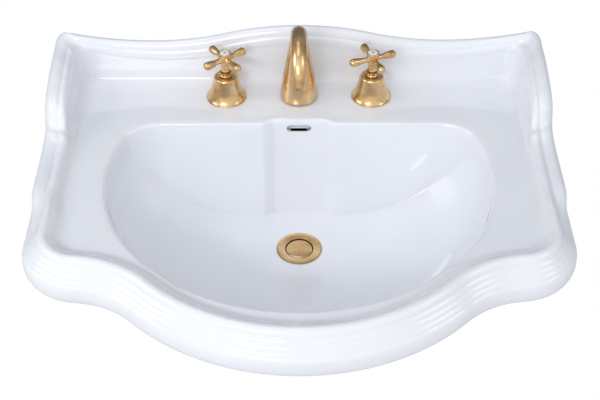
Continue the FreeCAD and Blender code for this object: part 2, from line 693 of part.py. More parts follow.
def cross_handle(x, angle):
    """Cast brass four-armed handle."""
    z = DECK
    hub = rod(HUB_DIAMETER, z + HUB_BOTTOM + HUB_SKIRT - 2.0, z + HUB_TOP)
    hub = hub.makeFillet(1.5, [e for e in hub.Edges if e.Closed])
    neck = Part.makeCone(HUB_DIAMETER / 2 - 2.0, HUB_DIAMETER / 2 - 0.5, HUB_SKIRT,
                         V(0, 0, z + HUB_BOTTOM))
    solid = fuse_all([hub, neck] + [handle_arm(angle + 90 * i) for i in range(4)])
    screw_seat = z + SPINDLE_TOP + 1.0
    solid = solid.cut([
        rod(SPINDLE_DIAMETER + 2 * FIT, z, z + SPINDLE_TOP + FIT),
        rod(SCREW_DIAMETER + 2 * LOOSE, z, VERY_BIG),
        rod(SCREW_HEAD + 2 * LOOSE, screw_seat + 1.0, VERY_BIG),
    ])
    solid.translate(V(x, TAP_Y, 0))
    return solid


def handle_screw(x):
    """Pan screw that holds the handle on its spindle."""
    seat = DECK + SPINDLE_TOP + 2.0
    return fuse_all([
        rod(SCREW_DIAMETER, DECK + SPINDLE_TOP - SCREW_DEPTH + 1, seat + 1, x, TAP_Y),
        rod(SCREW_HEAD, seat, seat + SCREW_HEAD_THICK, x, TAP_Y),
    ]).cut(hexagon(2.5, seat + 1.0, VERY_BIG, x, TAP_Y))


def index_cap(x):
    """Brass cap that presses into the hub and frames the index disc."""
    low = DECK + HUB_TOP
    plug = rod(SCREW_HEAD + 2 * LOOSE - 2 * FIT, low - 2.5, low + 1, x, TAP_Y)
    cap = rod(CAP_DIAMETER, low, low + CAP_HEIGHT, x, TAP_Y)
    cap = cap.makeFillet(1.0, [e for e in cap.Edges if e.Closed and e.BoundBox.ZMin > low + 1])
    pocket = rod(DISC_DIAMETER + 2 * FIT, low + CAP_HEIGHT - INDEX_THICK, VERY_BIG, x, TAP_Y)
    return fuse_all([plug, cap]).cut(pocket)


def index_disc(x):
    """White enamelled disc let into the cap."""
    top = DECK + HUB_TOP + CAP_HEIGHT
    return rod(DISC_DIAMETER, top - INDEX_THICK, top, x, TAP_Y)


def tube_ends(side):
    """Start and end points of a cross tube, inside the two ports."""
    start = V(side * (TAP_SPACING / 2 - SHANK_DIAMETER / 2 + 2.0), TAP_Y, DECK - VALVE_PORT)
    end = V(side * (TEE_DIAMETER / 2 - 2.0), TAP_Y, DECK - VALVE_PORT - TUBE_DROP)
    return start, end


def cross_tube(side):
    """Bent copper tube from a valve to the tee under the spout."""
    start, end = tube_ends(side)
    toward = -side
    run = abs(start.x - end.x)
    turn = math.acos(1 - TUBE_DROP / (2 * TUBE_BEND))
    reach = TUBE_BEND * math.sin(turn)
    mid_x = (start.x + end.x) / 2
    first = V(mid_x - toward * reach, TAP_Y, start.z)
    middle = V(mid_x, TAP_Y, (start.z + end.z) / 2)
    last = V(mid_x + toward * reach, TAP_Y, end.z)
    bend_a = V(first.x + toward * TUBE_BEND * math.sin(turn / 2), TAP_Y,
               start.z - TUBE_BEND * (1 - math.cos(turn / 2)))
    bend_b = V(last.x - toward * TUBE_BEND * math.sin(turn / 2), TAP_Y,
               end.z + TUBE_BEND * (1 - math.cos(turn / 2)))
    spine = Part.Wire([line(start, first), arc(first, bend_a, middle), arc(middle, bend_b, last),
                       line(last, end)])
    across = V(toward, 0, 0)
    solids = []
    for diameter in (TUBE_DIAMETER, TUBE_DIAMETER - 2 * TUBE_WALL):
        section = Part.Wire(Part.makeCircle(diameter / 2, start, across))
        solids.append(spine.makePipeShell([section], True, False))
    return solids[0].cut(solids[1])


def tube_nut(x, toward, z):
    """Hexagonal nut that screws onto a port and grips the tube."""
    nut = hexagon(TUBE_NUT_FLATS, 0, TUBE_NUT_LENGTH)
    nut = nut.cut([
        rod(PORT_DIAMETER + 2 * FIT, -1, PORT_LENGTH - 2.0),
        rod(TUBE_DIAMETER + 2 * FIT, -1, VERY_BIG),
    ])
    nut.rotate(V(0, 0, 0), V(0, 1, 0), 90 * toward)
    nut.translate(V(x, TAP_Y, z))
    return nut


def tube_nuts(side):
    """The two nuts of a cross tube."""
    valve_end = TAP_SPACING / 2 - SHANK_DIAMETER / 2 - 2.0
    tee_end = TEE_DIAMETER / 2 + 2.0
    return Part.makeCompound([
        tube_nut(side * valve_end, -side, DECK - VALVE_PORT),
        tube_nut(side * tee_end, side, DECK - VALVE_PORT - TUBE_DROP),
    ])


# --- Spout ------------------------------------------------------------------------------------
def arch_point(angle, radius=0.0):
    """Point on the arch's centre line; angle in radians, from upright at the tap line."""
    reach = ARCH_RADIUS + radius
    return V(0, TAP_Y - ARCH_RADIUS + reach * math.cos(angle),
             DECK + SPOUT_RISE + reach * math.sin(angle))


def spout_diameter(share):
    """Outer diameter at a share of the arch: narrowest on top, a little wider at the tip."""
    if share < 0.5:
        return SPOUT_NECK + (SPOUT_ROOT - SPOUT_NECK) * (1 - 2 * share) ** 2
    return SPOUT_NECK + (SPOUT_TIP - SPOUT_NECK) * (2 * share - 1)


def spout_section(diameter, angle, at):
    """Round section of the spout, tipped forwards by an angle in radians."""
    section = Part.Wire(Part.makeCircle(diameter / 2))
    section.rotate(V(0, 0, 0), V(1, 0, 0), math.degrees(angle))
    section.translate(at)
    return section


def spout_limb():
    """Tapering limb: the arch, then a straight length down to the tip."""
    sections = []
    steps = 8
    for i in range(steps + 1):
        share = i / steps
        angle = math.radians(ARCH_SWEEP) * share
        sections.append(spout_section(spout_diameter(share), angle, arch_point(angle)))
    sections.append(spout_section(SPOUT_TIP, math.radians(ARCH_SWEEP), spout_tip()[0]))
    return Part.makeLoft(sections, True, False)


def spout_waterway():
    """Bore from the shank to the tip."""
    sweep = math.radians(ARCH_SWEEP)
    start = V(0, TAP_Y, DECK + GASKET_THICK + 5.0)
    spine = Part.Wire([line(start, arch_point(0.0)),
                       arc(arch_point(0.0), arch_point(sweep / 2), arch_point(sweep)),
                       line(arch_point(sweep), spout_tip()[0])])
    return spine.makePipeShell([spout_section(SPOUT_BORE, 0.0, start)], True, False)


def spout_tip():
    """Centre of the outlet face and the direction that the water leaves in."""
    angle = math.radians(ARCH_SWEEP)
    along = V(0, -math.sin(angle), math.cos(angle))
    return arch_point(angle) + along * SPOUT_DROP, along


def spout_body():
    """One-piece cast brass spout, with its conical foot and its waterway."""
    low = DECK + GASKET_THICK
    root = DECK + SPOUT_RISE
    edge = V(SPOUT_BASE / 2, 0, low + SPOUT_FOOT)
    middle = V((SPOUT_BASE + SPOUT_ROOT) / 4 + SPOUT_SWELL, 0, (low + SPOUT_FOOT + root) / 2)
    crown = V(SPOUT_ROOT / 2, 0, root)
    foot = lathe(path([V(0, 0, low), V(SPOUT_BASE / 2, 0, low), edge]) + [arc(edge, middle, crown)]
                 + path([crown, V(0, 0, root), V(0, 0, low)]), 0, TAP_Y)
    at, along = spout_tip()
    nest = Part.makeCylinder(AERATOR_DIAMETER / 2 + FIT, AERATOR_THICK - AERATOR_PROUD,
                             at, along * -1)
    solid = fuse_all([spout_limb(), foot])
    return solid.cut([
        spout_waterway(),
        nest,
        rod(SHANK_DIAMETER + 2 * FIT, low - 1, low + SPOUT_SOCKET, 0, TAP_Y),
    ])


def spout_aerator():
    """Flow straightener screwed into the tip."""
    at, along = spout_tip()
    start = at + along * AERATOR_PROUD
    body = Part.makeCylinder(AERATOR_DIAMETER / 2, AERATOR_THICK, start, along * -1)
    holes = []
    across = V(1, 0, 0)
    other = along.cross(across)
    for count, radius in ((1, 0.0), (6, 3.4), (12, 6.8)):
        for i in range(count):
            angle = 2 * math.pi * i / count
            centre = start + across * (radius * math.cos(angle)) + other * (radius * math.sin(angle))
            holes.append(Part.makeCylinder(1.1, AERATOR_THICK + 2, centre + along, along * -1))
    return body.cut(holes)


def spout_shank():
    """Threaded brass tube that holds the spout to the deck and carries the water up."""
    top = DECK + GASKET_THICK + SPOUT_SOCKET
    return ring(SHANK_DIAMETER, SPOUT_BORE + 3.0, DECK - SPOUT_SHANK_BOTTOM, top, 0, TAP_Y)


def spout_gasket():
    """Rubber washer under the spout's foot."""
    return ring(SPOUT_BASE - 6.0, SHANK_DIAMETER + 2 * LOOSE, DECK, DECK + GASKET_THICK, 0, TAP_Y)


def spout_tee():
    """Brass tee screwed onto the shank, where the two cross tubes meet."""
    middle = DECK - VALVE_PORT - TUBE_DROP
    top = middle + TEE_HEIGHT / 2 + 10.0
    body = fuse_all(
        [rod(TEE_DIAMETER, middle - TEE_HEIGHT / 2, top, 0, TAP_Y)]
        + [port(0, side, middle, PORT_DIAMETER, 0, TEE_DIAMETER / 2 + PORT_LENGTH)
           for side in (-1, 1)])
    return body.cut(
        [rod(SHANK_DIAMETER + 2 * FIT, DECK - SPOUT_SHANK_BOTTOM, VERY_BIG, 0, TAP_Y),
         rod(SPOUT_BORE + 3.0, middle - 6.0, VERY_BIG, 0, TAP_Y)]
        + [port(0, side, middle, TUBE_DIAMETER + 2 * FIT, 0, VERY_BIG) for side in (-1, 1)])


# --- Waste ------------------------------------------------------------------------------------
def waste_flange():
    """Brass waste body: dished flange, threaded tube, overflow slots and a cross for the stem."""
    top = BOWL_FLOOR + FLANGE_PROUD
    low = DECK - WASTE_OUTLET
    bore = WASTE_THREAD - 2 * WASTE_WALL
    body = fuse_all([
        rod(FLANGE_DIAMETER, top - FLANGE_THICK, top, 0, DRAIN_Y),
        rod(WASTE_THREAD, low, top - 1, 0, DRAIN_Y),
    ])
    dish = Part.makeCone(plug_seat_diameter() / 2, FLANGE_DIAMETER / 2 - 4.0, FLANGE_PROUD,
                         V(0, DRAIN_Y, top - FLANGE_PROUD))
    seat = rod(plug_seat_diameter(), plug_low() - SEAL_THICK, top + 1, 0, DRAIN_Y)
    slot_low = DECK - WASTE_SEAT + DUCT_WALL
    slots = block(-WASTE_SLOT_WIDTH / 2, WASTE_SLOT_WIDTH / 2, DRAIN_Y - WASTE_THREAD,
                  DRAIN_Y + WASTE_THREAD, slot_low, slot_low + DUCT_RUN)
    relief_top = WASTE_NUT_TOP - WASTE_NUT_THICK - 1.0
    relief = ring(WASTE_THREAD + 2.0, WASTE_THREAD - 2 * WASTE_RELIEF_DEPTH,
                  relief_top - WASTE_RELIEF, relief_top, 0, DRAIN_Y)
    body = body.cut([dish, seat, rod(bore, -VERY_BIG, VERY_BIG, 0, DRAIN_Y), slots, relief])
    bar_top = guide_low() + GUIDE_LENGTH
    half = CROSS_BAR / 2
    inner = bore / 2 + WASTE_WALL / 2
    bars = fuse_all([
        block(-inner, inner, DRAIN_Y - half, DRAIN_Y + half, bar_top - CROSS_BAR, bar_top),
        block(-half, half, DRAIN_Y - inner, DRAIN_Y + inner, bar_top - CROSS_BAR, bar_top),
        rod(GUIDE_DIAMETER + 6.0, bar_top - CROSS_BAR, bar_top, 0, DRAIN_Y),
    ])
    return body.fuse(bars).removeSplitter().cut(
        rod(GUIDE_DIAMETER + 2 * FIT, -VERY_BIG, VERY_BIG, 0, DRAIN_Y))


def plug_seat_diameter():
    """Bore of the flange that the plug closes."""
    return PLUG_DIAMETER + 2 * PLUG_GAP


def plug_low():
    """Underside of the plug's cap when it is shut."""
    return BOWL_FLOOR + PLUG_PROUD - PLUG_THICK


def guide_low():
    """Lower end of the plug's guide."""
    return plug_low() - SEAL_THICK - PLUG_LIFT - GUIDE_LENGTH


def waste_plug():
    """Domed brass plug with its stem socket."""
    low = plug_low()
    radius = PLUG_DIAMETER / 2
    rise = PLUG_DOME
    sphere = (radius ** 2 + rise ** 2) / (2 * rise)
    half_turn = math.asin(radius / sphere) / 2
    crown = V(0, 0, low + PLUG_THICK)
    rim = V(radius, 0, crown.z - rise)
    shoulder = V(sphere * math.sin(half_turn), 0, crown.z - sphere * (1 - math.cos(half_turn)))
    cap = lathe([line(V(0, 0, low), V(radius, 0, low)), line(V(radius, 0, low), rim),
                 arc(rim, shoulder, crown), line(crown, V(0, 0, low))], 0, DRAIN_Y)
    neck = rod(PLUG_NECK, low - SEAL_THICK - 1.0, low + 1, 0, DRAIN_Y)
    return fuse_all([cap, neck]).cut(
        rod(PLUG_STEM + 2 * FIT, low - SEAL_THICK - 2.0, low + 1.0, 0, DRAIN_Y))


def waste_plug_seal():
    """Rubber ring under the plug's rim."""
    low = plug_low() - SEAL_THICK
    return ring(PLUG_DIAMETER + 2 * SEAL_OVERHANG, PLUG_NECK + 2 * FIT, low, plug_low(), 0,
                DRAIN_Y)


def waste_plug_stem():
    """Brass stem of the push-button, which slides in the guide."""
    low = guide_low() + SPRING_ROOM
    collar = GUIDE_DIAMETER - 2 * GUIDE_WALL - 2 * GAP
    return fuse_all([
        rod(PLUG_STEM, low, plug_low() + 1.0 - FIT, 0, DRAIN_Y),
        rod(collar, low + STEM_COLLAR_LOW, low + STEM_COLLAR_LOW + STEM_COLLAR, 0, DRAIN_Y),
    ])


def waste_guide():
    """Cup-shaped guide, screwed into the waste's cross, with the latching track inside."""
    low = guide_low()
    body = rod(GUIDE_DIAMETER, low, low + GUIDE_LENGTH, 0, DRAIN_Y)
    return body.cut([
        rod(GUIDE_DIAMETER - 2 * GUIDE_WALL, low + GUIDE_WALL, low + GUIDE_LENGTH - 3.0, 0,
            DRAIN_Y),
        rod(PLUG_STEM + 2 * FIT, low + 1.0, VERY_BIG, 0, DRAIN_Y),
    ])


def waste_spring():
    """Coil that pushes the plug up, in the lower part of the guide, round the stem."""
    low = guide_low() + GUIDE_WALL + SPRING_WIRE / 2
    room = SPRING_ROOM + STEM_COLLAR_LOW - GUIDE_WALL - SPRING_WIRE - GAP
    radius = PLUG_STEM / 2 + GAP + SPRING_WIRE / 2
    pitch = room / SPRING_COILS
    helix = Part.makeLongHelix(pitch, room, radius)
    along = V(0, 2 * math.pi * radius, pitch)
    section = Part.Wire(Part.makeCircle(SPRING_WIRE / 2, V(radius, 0, 0), along))
    coil = Part.Wire(helix.Edges).makePipeShell([section], True, True)
    coil.translate(V(0, DRAIN_Y, low + GAP / 2))
    return coil


def waste_ring(outer, inner, top, thick):
    """Washer of the waste, by its upper face and thickness."""
    return ring(outer, inner, top - thick, top, 0, DRAIN_Y)


def waste_backnut():
    """Large brass nut that pulls the waste down onto its washers."""
    nut = hexagon(WASTE_NUT_FLATS, WASTE_NUT_TOP - WASTE_NUT_THICK, WASTE_NUT_TOP, 0, DRAIN_Y)
    return nut.cut(rod(WASTE_THREAD + 2 * FIT, -VERY_BIG, VERY_BIG, 0, DRAIN_Y))


def build_nodes():
    """Every piece, by its node's name."""
    nodes = {
        "basin": basin(),
        "spout_body": spout_body(),
        "spout_aerator": spout_aerator(),
        "spout_shank": spout_shank(),
        "spout_gasket": spout_gasket(),
        "spout_clamp_washer": clamp_washer(0.0),
        "spout_backnut": backnut(0.0),
        "spout_tee": spout_tee(),
        "waste_flange": waste_flange(),
        "waste_plug": waste_plug(),
        "waste_plug_seal": waste_plug_seal(),
        "waste_plug_stem": waste_plug_stem(),
        "waste_guide": waste_guide(),
        "waste_spring": waste_spring(),
        "waste_flange_seal": ring(FLANGE_DIAMETER - 2.0, WASTE_THREAD + 2 * LOOSE, flange_seat(),
                                  flange_seat() + GASKET_THICK, 0, DRAIN_Y),
        "waste_rubber_washer": waste_ring(WASTE_WASHER, WASTE_THREAD + 2 * LOOSE, WASTE_UNDER,
                                          WASTE_RUBBER),
        "waste_friction_washer": waste_ring(WASTE_WASHER - 2.0, WASTE_THREAD + 2 * LOOSE,
                                            WASTE_UNDER - WASTE_RUBBER, WASTE_FRICTION),
        "waste_backnut": waste_backnut(),
    }
    for name, side, angle in (("hot", -1, HOT_ARM_ANGLE), ("cold", 1, COLD_ARM_ANGLE)):
        x = side * TAP_SPACING / 2
        nodes[name + "_valve_body"] = valve_body(x, -side)
        nodes[name + "_seat_seal"] = seat_seal(x)
        nodes[name + "_fixed_disc"] = half_moon(x, disc_floor(), 1)
        nodes[name + "_turning_disc"] = half_moon(x, disc_floor() + DISC_THICK, -1)
        nodes[name + "_cartridge"] = cartridge(x)
        nodes[name + "_spindle"] = spindle(x)
        nodes[name + "_bell_escutcheon"] = bell_escutcheon(x)
        nodes[name + "_gland_collar"] = gland_collar(x)
        nodes[name + "_cross_handle"] = cross_handle(x, angle)
        nodes[name + "_handle_screw"] = handle_screw(x)
        nodes[name + "_index_cap"] = index_cap(x)
        nodes[name + "_index_disc"] = index_disc(x)
        nodes[name + "_gasket"] = tap_gasket(x)
        nodes[name + "_clamp_washer"] = clamp_washer(x)
        nodes[name + "_backnut"] = backnut(x)
        nodes[name + "_cross_tube"] = cross_tube(side)
        nodes[name + "_tube_nuts"] = tube_nuts(side)
    return nodes


if __name__ == "__main__":
    os.makedirs("parts", exist_ok=True)
    for name, shape in build_nodes().items():
        shape.exportStep("parts/" + name + ".step")
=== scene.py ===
"""Washbasin in vitreous china with an antique brass three-hole tap set and a push-button waste."""
import logging
import math
from dataclasses import dataclass, field
from enum import Enum
from typing import Callable, Iterable, Sequence

import bpy
import numpy as np
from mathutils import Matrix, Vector


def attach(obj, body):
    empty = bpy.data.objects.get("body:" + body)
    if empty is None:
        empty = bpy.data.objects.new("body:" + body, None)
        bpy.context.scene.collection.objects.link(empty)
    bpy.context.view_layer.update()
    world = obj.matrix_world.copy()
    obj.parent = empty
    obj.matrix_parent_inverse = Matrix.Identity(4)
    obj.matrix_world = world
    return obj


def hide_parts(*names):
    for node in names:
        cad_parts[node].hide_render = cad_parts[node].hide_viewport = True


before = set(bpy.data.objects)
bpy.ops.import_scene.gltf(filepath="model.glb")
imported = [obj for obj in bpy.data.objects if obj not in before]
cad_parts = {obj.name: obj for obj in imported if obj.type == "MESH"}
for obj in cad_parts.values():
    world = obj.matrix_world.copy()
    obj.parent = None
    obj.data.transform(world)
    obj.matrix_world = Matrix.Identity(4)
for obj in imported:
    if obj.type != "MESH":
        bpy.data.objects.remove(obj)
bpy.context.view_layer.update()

MM = 0.001
ROOT_BODY = "basin_and_fittings"

log = logging.getLogger("washbasin")
logging.basicConfig(level=logging.INFO, format="%(name)s: %(message)s")

Point = tuple[float, float]


# --- Numbers and curves ------------------------------------------------------------------------
def smooth(edge0: float, edge1: float, value: np.ndarray) -> np.ndarray:
    """Smooth step from 0 at edge0 to 1 at edge1."""
    t = np.clip((np.asarray(value, float) - edge0) / (edge1 - edge0), 0.0, 1.0)
    return t * t * (3.0 - 2.0 * t)


def blend(a: np.ndarray, b: np.ndarray, share: np.ndarray) -> np.ndarray:
    """Linear mix of a and b."""
    return a + (b - a) * share


def linear_rgb(code: str) -> tuple[float, float, float, float]:
    """Linear colour from an sRGB hex code such as "#C8A064".

    Args:
        code: The hex code, with its hash.

    Returns:
        Red, green, blue and an alpha of 1.
    """
    parts = [int(code[i:i + 2], 16) / 255.0 for i in (1, 3, 5)]
    lin = [c / 12.92 if c <= 0.04045 else ((c + 0.055) / 1.055) ** 2.4 for c in parts]
    return (lin[0], lin[1], lin[2], 1.0)


def arc_points(centre: Point, radius: float, start: float, end: float, count: int) -> list[Point]:
    """Points on a circle in a profile's plane.

    Args:
        centre: Centre of the arc.
        radius: Radius of the arc.
        start: First angle, in degrees.
        end: Last angle, in degrees.
        count: Number of points.

    Returns:
        The points, first to last.
    """
    angles = np.radians(np.linspace(start, end, count))
    return [(centre[0] + radius * math.cos(a), centre[1] + radius * math.sin(a)) for a in angles]


def bezier(p0: Point, p1: Point, p2: Point, p3: Point, count: int) -> list[Point]:
    """Points along a cubic curve between p0 and p3, its handles at p1 and p2."""
    t = np.linspace(0.0, 1.0, count)[:, None]
    pts = [np.array(p, float) for p in (p0, p1, p2, p3)]
    curve = ((1 - t) ** 3 * pts[0] + 3 * (1 - t) ** 2 * t * pts[1]
             + 3 * (1 - t) * t ** 2 * pts[2] + t ** 3 * pts[3])
    return [tuple(p) for p in curve]


def resample(line: np.ndarray, count: int) -> np.ndarray:
    """Points evenly spaced by length along a polyline.

    Args:
        line: Points of the polyline, one per row.
        count: Number of points wanted.

    Returns:
        The new points, one per row.
    """
    steps = np.linalg.norm(np.diff(line, axis=0), axis=1)
    length = np.concatenate([[0.0], np.cumsum(steps)])
    at = np.linspace(0.0, length[-1], count)
    return np.stack([np.interp(at, length, line[:, k]) for k in range(line.shape[1])], axis=1)


# --- Meshes ------------------------------------------------------------------------------------
def make_object(name: str, points: np.ndarray, faces: Sequence[Sequence[int]],
                smooth_shading: bool = True) -> bpy.types.Object:
    """Mesh object from points in millimetres.

    Args:
        name: Name of the object.
        points: Corners, one per row, in millimetres.
        faces: Corner numbers of each face.
        smooth_shading: True for smooth shading.

    Returns:
        The new object, linked to the scene.
    """
    mesh = bpy.data.meshes.new(name)
    mesh.from_pydata((np.asarray(points) * MM).tolist(), [], [list(f) for f in faces])
    mesh.update()
    if smooth_shading:
        mesh.polygons.foreach_set("use_smooth", [True] * len(mesh.polygons))
    obj = bpy.data.objects.new(name, mesh)
    bpy.context.scene.collection.objects.link(obj)
    return obj


def grid_faces(rows: int, columns: int, wrap_rows: bool, wrap_columns: bool,
               start: int = 0) -> list[tuple[int, int, int, int]]:
    """Quads of a grid of points stored row by row.

    Args:
        rows: Number of rows.
        columns: Points in each row.
        wrap_rows: True if the last row joins the first.
        wrap_columns: True if each row is a closed loop.
        start: Number of the grid's first point.

    Returns:
        Corner numbers of each quad.
    """
    faces = []
    for r in range(rows if wrap_rows else rows - 1):
        below = (r + 1) % rows
        for c in range(columns if wrap_columns else columns - 1):
            right = (c + 1) % columns
            faces.append((start + r * columns + c, start + r * columns + right,
                          start + below * columns + right, start + below * columns + c))
    return faces


def lathe(name: str, profile: Sequence[Point], at: tuple[float, float, float],
          segments: int = 96, closed: bool = False) -> bpy.types.Object:
    """Object turned about an upright axis.

    Args:
        name: Name of the object.
        profile: Radius and height of each point, in millimetres, from the axis point.
        at: Place of the axis and the height of zero, in millimetres.
        segments: Facets round the axis.
        closed: True if the profile's ends join, as for a ring.

    Returns:
        The new object.
    """
    angles = np.linspace(0.0, 2.0 * math.pi, segments, endpoint=False)
    line = np.array(profile, float)
    radius = np.maximum(line[:, 0], 0.0)
    points = np.stack([
        at[0] + radius[:, None] * np.cos(angles)[None, :],
        at[1] + radius[:, None] * np.sin(angles)[None, :],
        at[2] + np.repeat(line[:, 1][:, None], segments, axis=1),
    ], axis=-1).reshape(-1, 3)
    faces = grid_faces(len(line), segments, closed, True)
    obj = make_object(name, points, faces)
    tidy_mesh(obj)
    return obj


def tidy_mesh(obj: bpy.types.Object) -> None:
    """Merges doubled points, drops flat faces and turns all faces outwards."""
    import bmesh
    bm = bmesh.new()
    bm.from_mesh(obj.data)
    bmesh.ops.remove_doubles(bm, verts=bm.verts, dist=1e-6)
    bmesh.ops.dissolve_degenerate(bm, edges=bm.edges, dist=1e-7)
    bmesh.ops.recalc_face_normals(bm, faces=bm.faces)
    bm.to_mesh(obj.data)
    bm.free()
    obj.data.update()


def join(name: str, parts: Sequence[bpy.types.Object]) -> bpy.types.Object:
    """One object from several; the first gives its place.

    Args:
        name: Name of the joined object.
        parts: Objects to join.

    Returns:
        The joined object.
    """
    for obj in bpy.context.selected_objects:
        obj.select_set(False)
    for obj in parts:
        obj.select_set(True)
    bpy.context.view_layer.objects.active = parts[0]
    bpy.ops.object.join()
    parts[0].name = name
    return parts[0]


def apply_modifiers(obj: bpy.types.Object) -> None:
    """Replaces the mesh by its modified form."""
    graph = bpy.context.evaluated_depsgraph_get()
    mesh = bpy.data.meshes.new_from_object(obj.evaluated_get(graph))
    obj.modifiers.clear()
    obj.data = mesh


def cut(obj: bpy.types.Object, cutters: Sequence[bpy.types.Object]) -> None:
    """Cuts the closed shapes out of an object and removes them."""
    tool = cutters[0] if len(cutters) == 1 else join("cutter", cutters)
    modifier = obj.modifiers.new("cut", "BOOLEAN")
    modifier.operation = "DIFFERENCE"
    modifier.solver = "EXACT"
    modifier.object = tool
    apply_modifiers(obj)
    bpy.data.objects.remove(tool)


# --- Materials ---------------------------------------------------------------------------------
def add_node(tree: bpy.types.NodeTree, kind: str, settings: dict | None = None,
             **inputs: object) -> bpy.types.Node:
    """Adds a shader node with its settings and its inputs.

    Args:
        tree: The node tree.
        kind: Blender's name for the node type.
        settings: Properties of the node itself.
        inputs: Input name, with underscores for spaces, to a value or an output socket.

    Returns:
        The new node.
    """
    node = tree.nodes.new(kind)
    for name, value in (settings or {}).items():
        setattr(node, name, value)
    for name, value in inputs.items():
        key = int(name[1:]) if name[0] == "i" and name[1:].isdigit() else name.replace("_", " ")
        socket = node.inputs[key]
        if isinstance(value, bpy.types.NodeSocket):
            tree.links.new(value, socket)
        else:
            socket.default_value = value
    return node


@dataclass(frozen=True)
class Finish:
    """What every finish has: a name and a shader tree."""

    name: str = "finish"

    def build(self) -> bpy.types.Material:
        """Makes the material, or returns it if it is already made."""
        found = bpy.data.materials.get(self.name)
        if found:
            return found
        material = bpy.data.materials.new(self.name)
        material.use_nodes = True
        tree = material.node_tree
        tree.nodes.clear()
        shader = self.shade(tree)
        output = tree.nodes.new("ShaderNodeOutputMaterial")
        tree.links.new(shader.outputs[0], output.inputs["Surface"])
        return material

    def shade(self, tree: bpy.types.NodeTree) -> bpy.types.Node:
        """Adds the shader's nodes and returns the last one."""
        return add_node(tree, "ShaderNodeBsdfPrincipled")

    def dress(self, obj: bpy.types.Object) -> None:
        """Puts the finish on the whole of an object."""
        obj.data.materials.clear()
        obj.data.materials.append(self.build())


@dataclass(frozen=True)
class GlazedChina(Finish):
    """Vitreous china: a cast clay body under a fired tin-white glaze, glassy and slightly rippled."""

    name: str = "glazed_vitreous_china"
    glaze: str = "#EEF1F7"
    thin_glaze: str = "#E6E9F0"
    ripple_mm: float = 26.0
    cloud_mm: float = 90.0

    def shade(self, tree: bpy.types.NodeTree) -> bpy.types.Node:
        """Adds a glossy white with faint clouding and the ripple of a dipped glaze."""
        place = add_node(tree, "ShaderNodeTexCoord")
        cloud = add_node(tree, "ShaderNodeTexNoise", Vector=place.outputs["Object"],
                         Scale=1.0 / (self.cloud_mm * MM), Detail=2.0, Roughness=0.5)
        colour = add_node(tree, "ShaderNodeMix", {"data_type": "RGBA"},
                          i0=cloud.outputs["Fac"], i6=linear_rgb(self.thin_glaze),
                          i7=linear_rgb(self.glaze))
        ripple = add_node(tree, "ShaderNodeTexNoise", Vector=place.outputs["Object"],
                          Scale=1.0 / (self.ripple_mm * MM), Detail=1.5, Roughness=0.4)
        bump = add_node(tree, "ShaderNodeBump", Strength=0.05, Distance=0.0012,
                        Height=ripple.outputs["Fac"])
        return add_node(tree, "ShaderNodeBsdfPrincipled", Base_Color=colour.outputs[2],
                        Roughness=0.07, IOR=1.52, Coat_Weight=0.25, Coat_Roughness=0.03,
                        Normal=bump.outputs["Normal"])


@dataclass(frozen=True)
class AntiqueBrass(Finish):
    """Cast brass, oxidised brown and then brushed back, so it is golden with brown in its pores."""

    name: str = "antique_brushed_brass"
    bright: str = "#EFD3A6"
    warm: str = "#E0BB87"
    brown: str = "#BB9160"
    brush_mm: float = 0.9
    patina_mm: float = 22.0

    def shade(self, tree: bpy.types.NodeTree) -> bpy.types.Node:
        """Adds a brushed metal whose colour varies with the brown patina and whose roughness varies
        with the brushing.
        """
        place = add_node(tree, "ShaderNodeTexCoord")
        stretch = add_node(tree, "ShaderNodeMapping", Vector=place.outputs["Object"],
                           Scale=(0.35, 0.35, 6.0))
        brushed = add_node(tree, "ShaderNodeTexNoise", Vector=stretch.outputs["Vector"],
                           Scale=0.2 / (self.brush_mm * MM), Detail=3.0, Roughness=0.6)
        patina = add_node(tree, "ShaderNodeTexNoise", Vector=place.outputs["Object"],
                          Scale=1.0 / (self.patina_mm * MM), Detail=5.0, Roughness=0.62)
        ramp = add_node(tree, "ShaderNodeValToRGB", Fac=patina.outputs["Fac"])
        ramp.color_ramp.elements[0].position = 0.28
        ramp.color_ramp.elements[0].color = linear_rgb(self.brown)
        ramp.color_ramp.elements[1].position = 0.72
        ramp.color_ramp.elements[1].color = linear_rgb(self.bright)
        middle = ramp.color_ramp.elements.new(0.48)
        middle.color = linear_rgb(self.warm)
        rough = add_node(tree, "ShaderNodeMapRange", Value=brushed.outputs["Fac"])
        rough.inputs["To Min"].default_value = 0.17
        rough.inputs["To Max"].default_value = 0.30
        bump = add_node(tree, "ShaderNodeBump", Strength=0.05, Distance=0.0002,
                        Height=brushed.outputs["Fac"])
        return add_node(tree, "ShaderNodeBsdfPrincipled", Base_Color=ramp.outputs["Color"],
                        Metallic=1.0, Roughness=rough.outputs["Result"],
                        Normal=bump.outputs["Normal"])


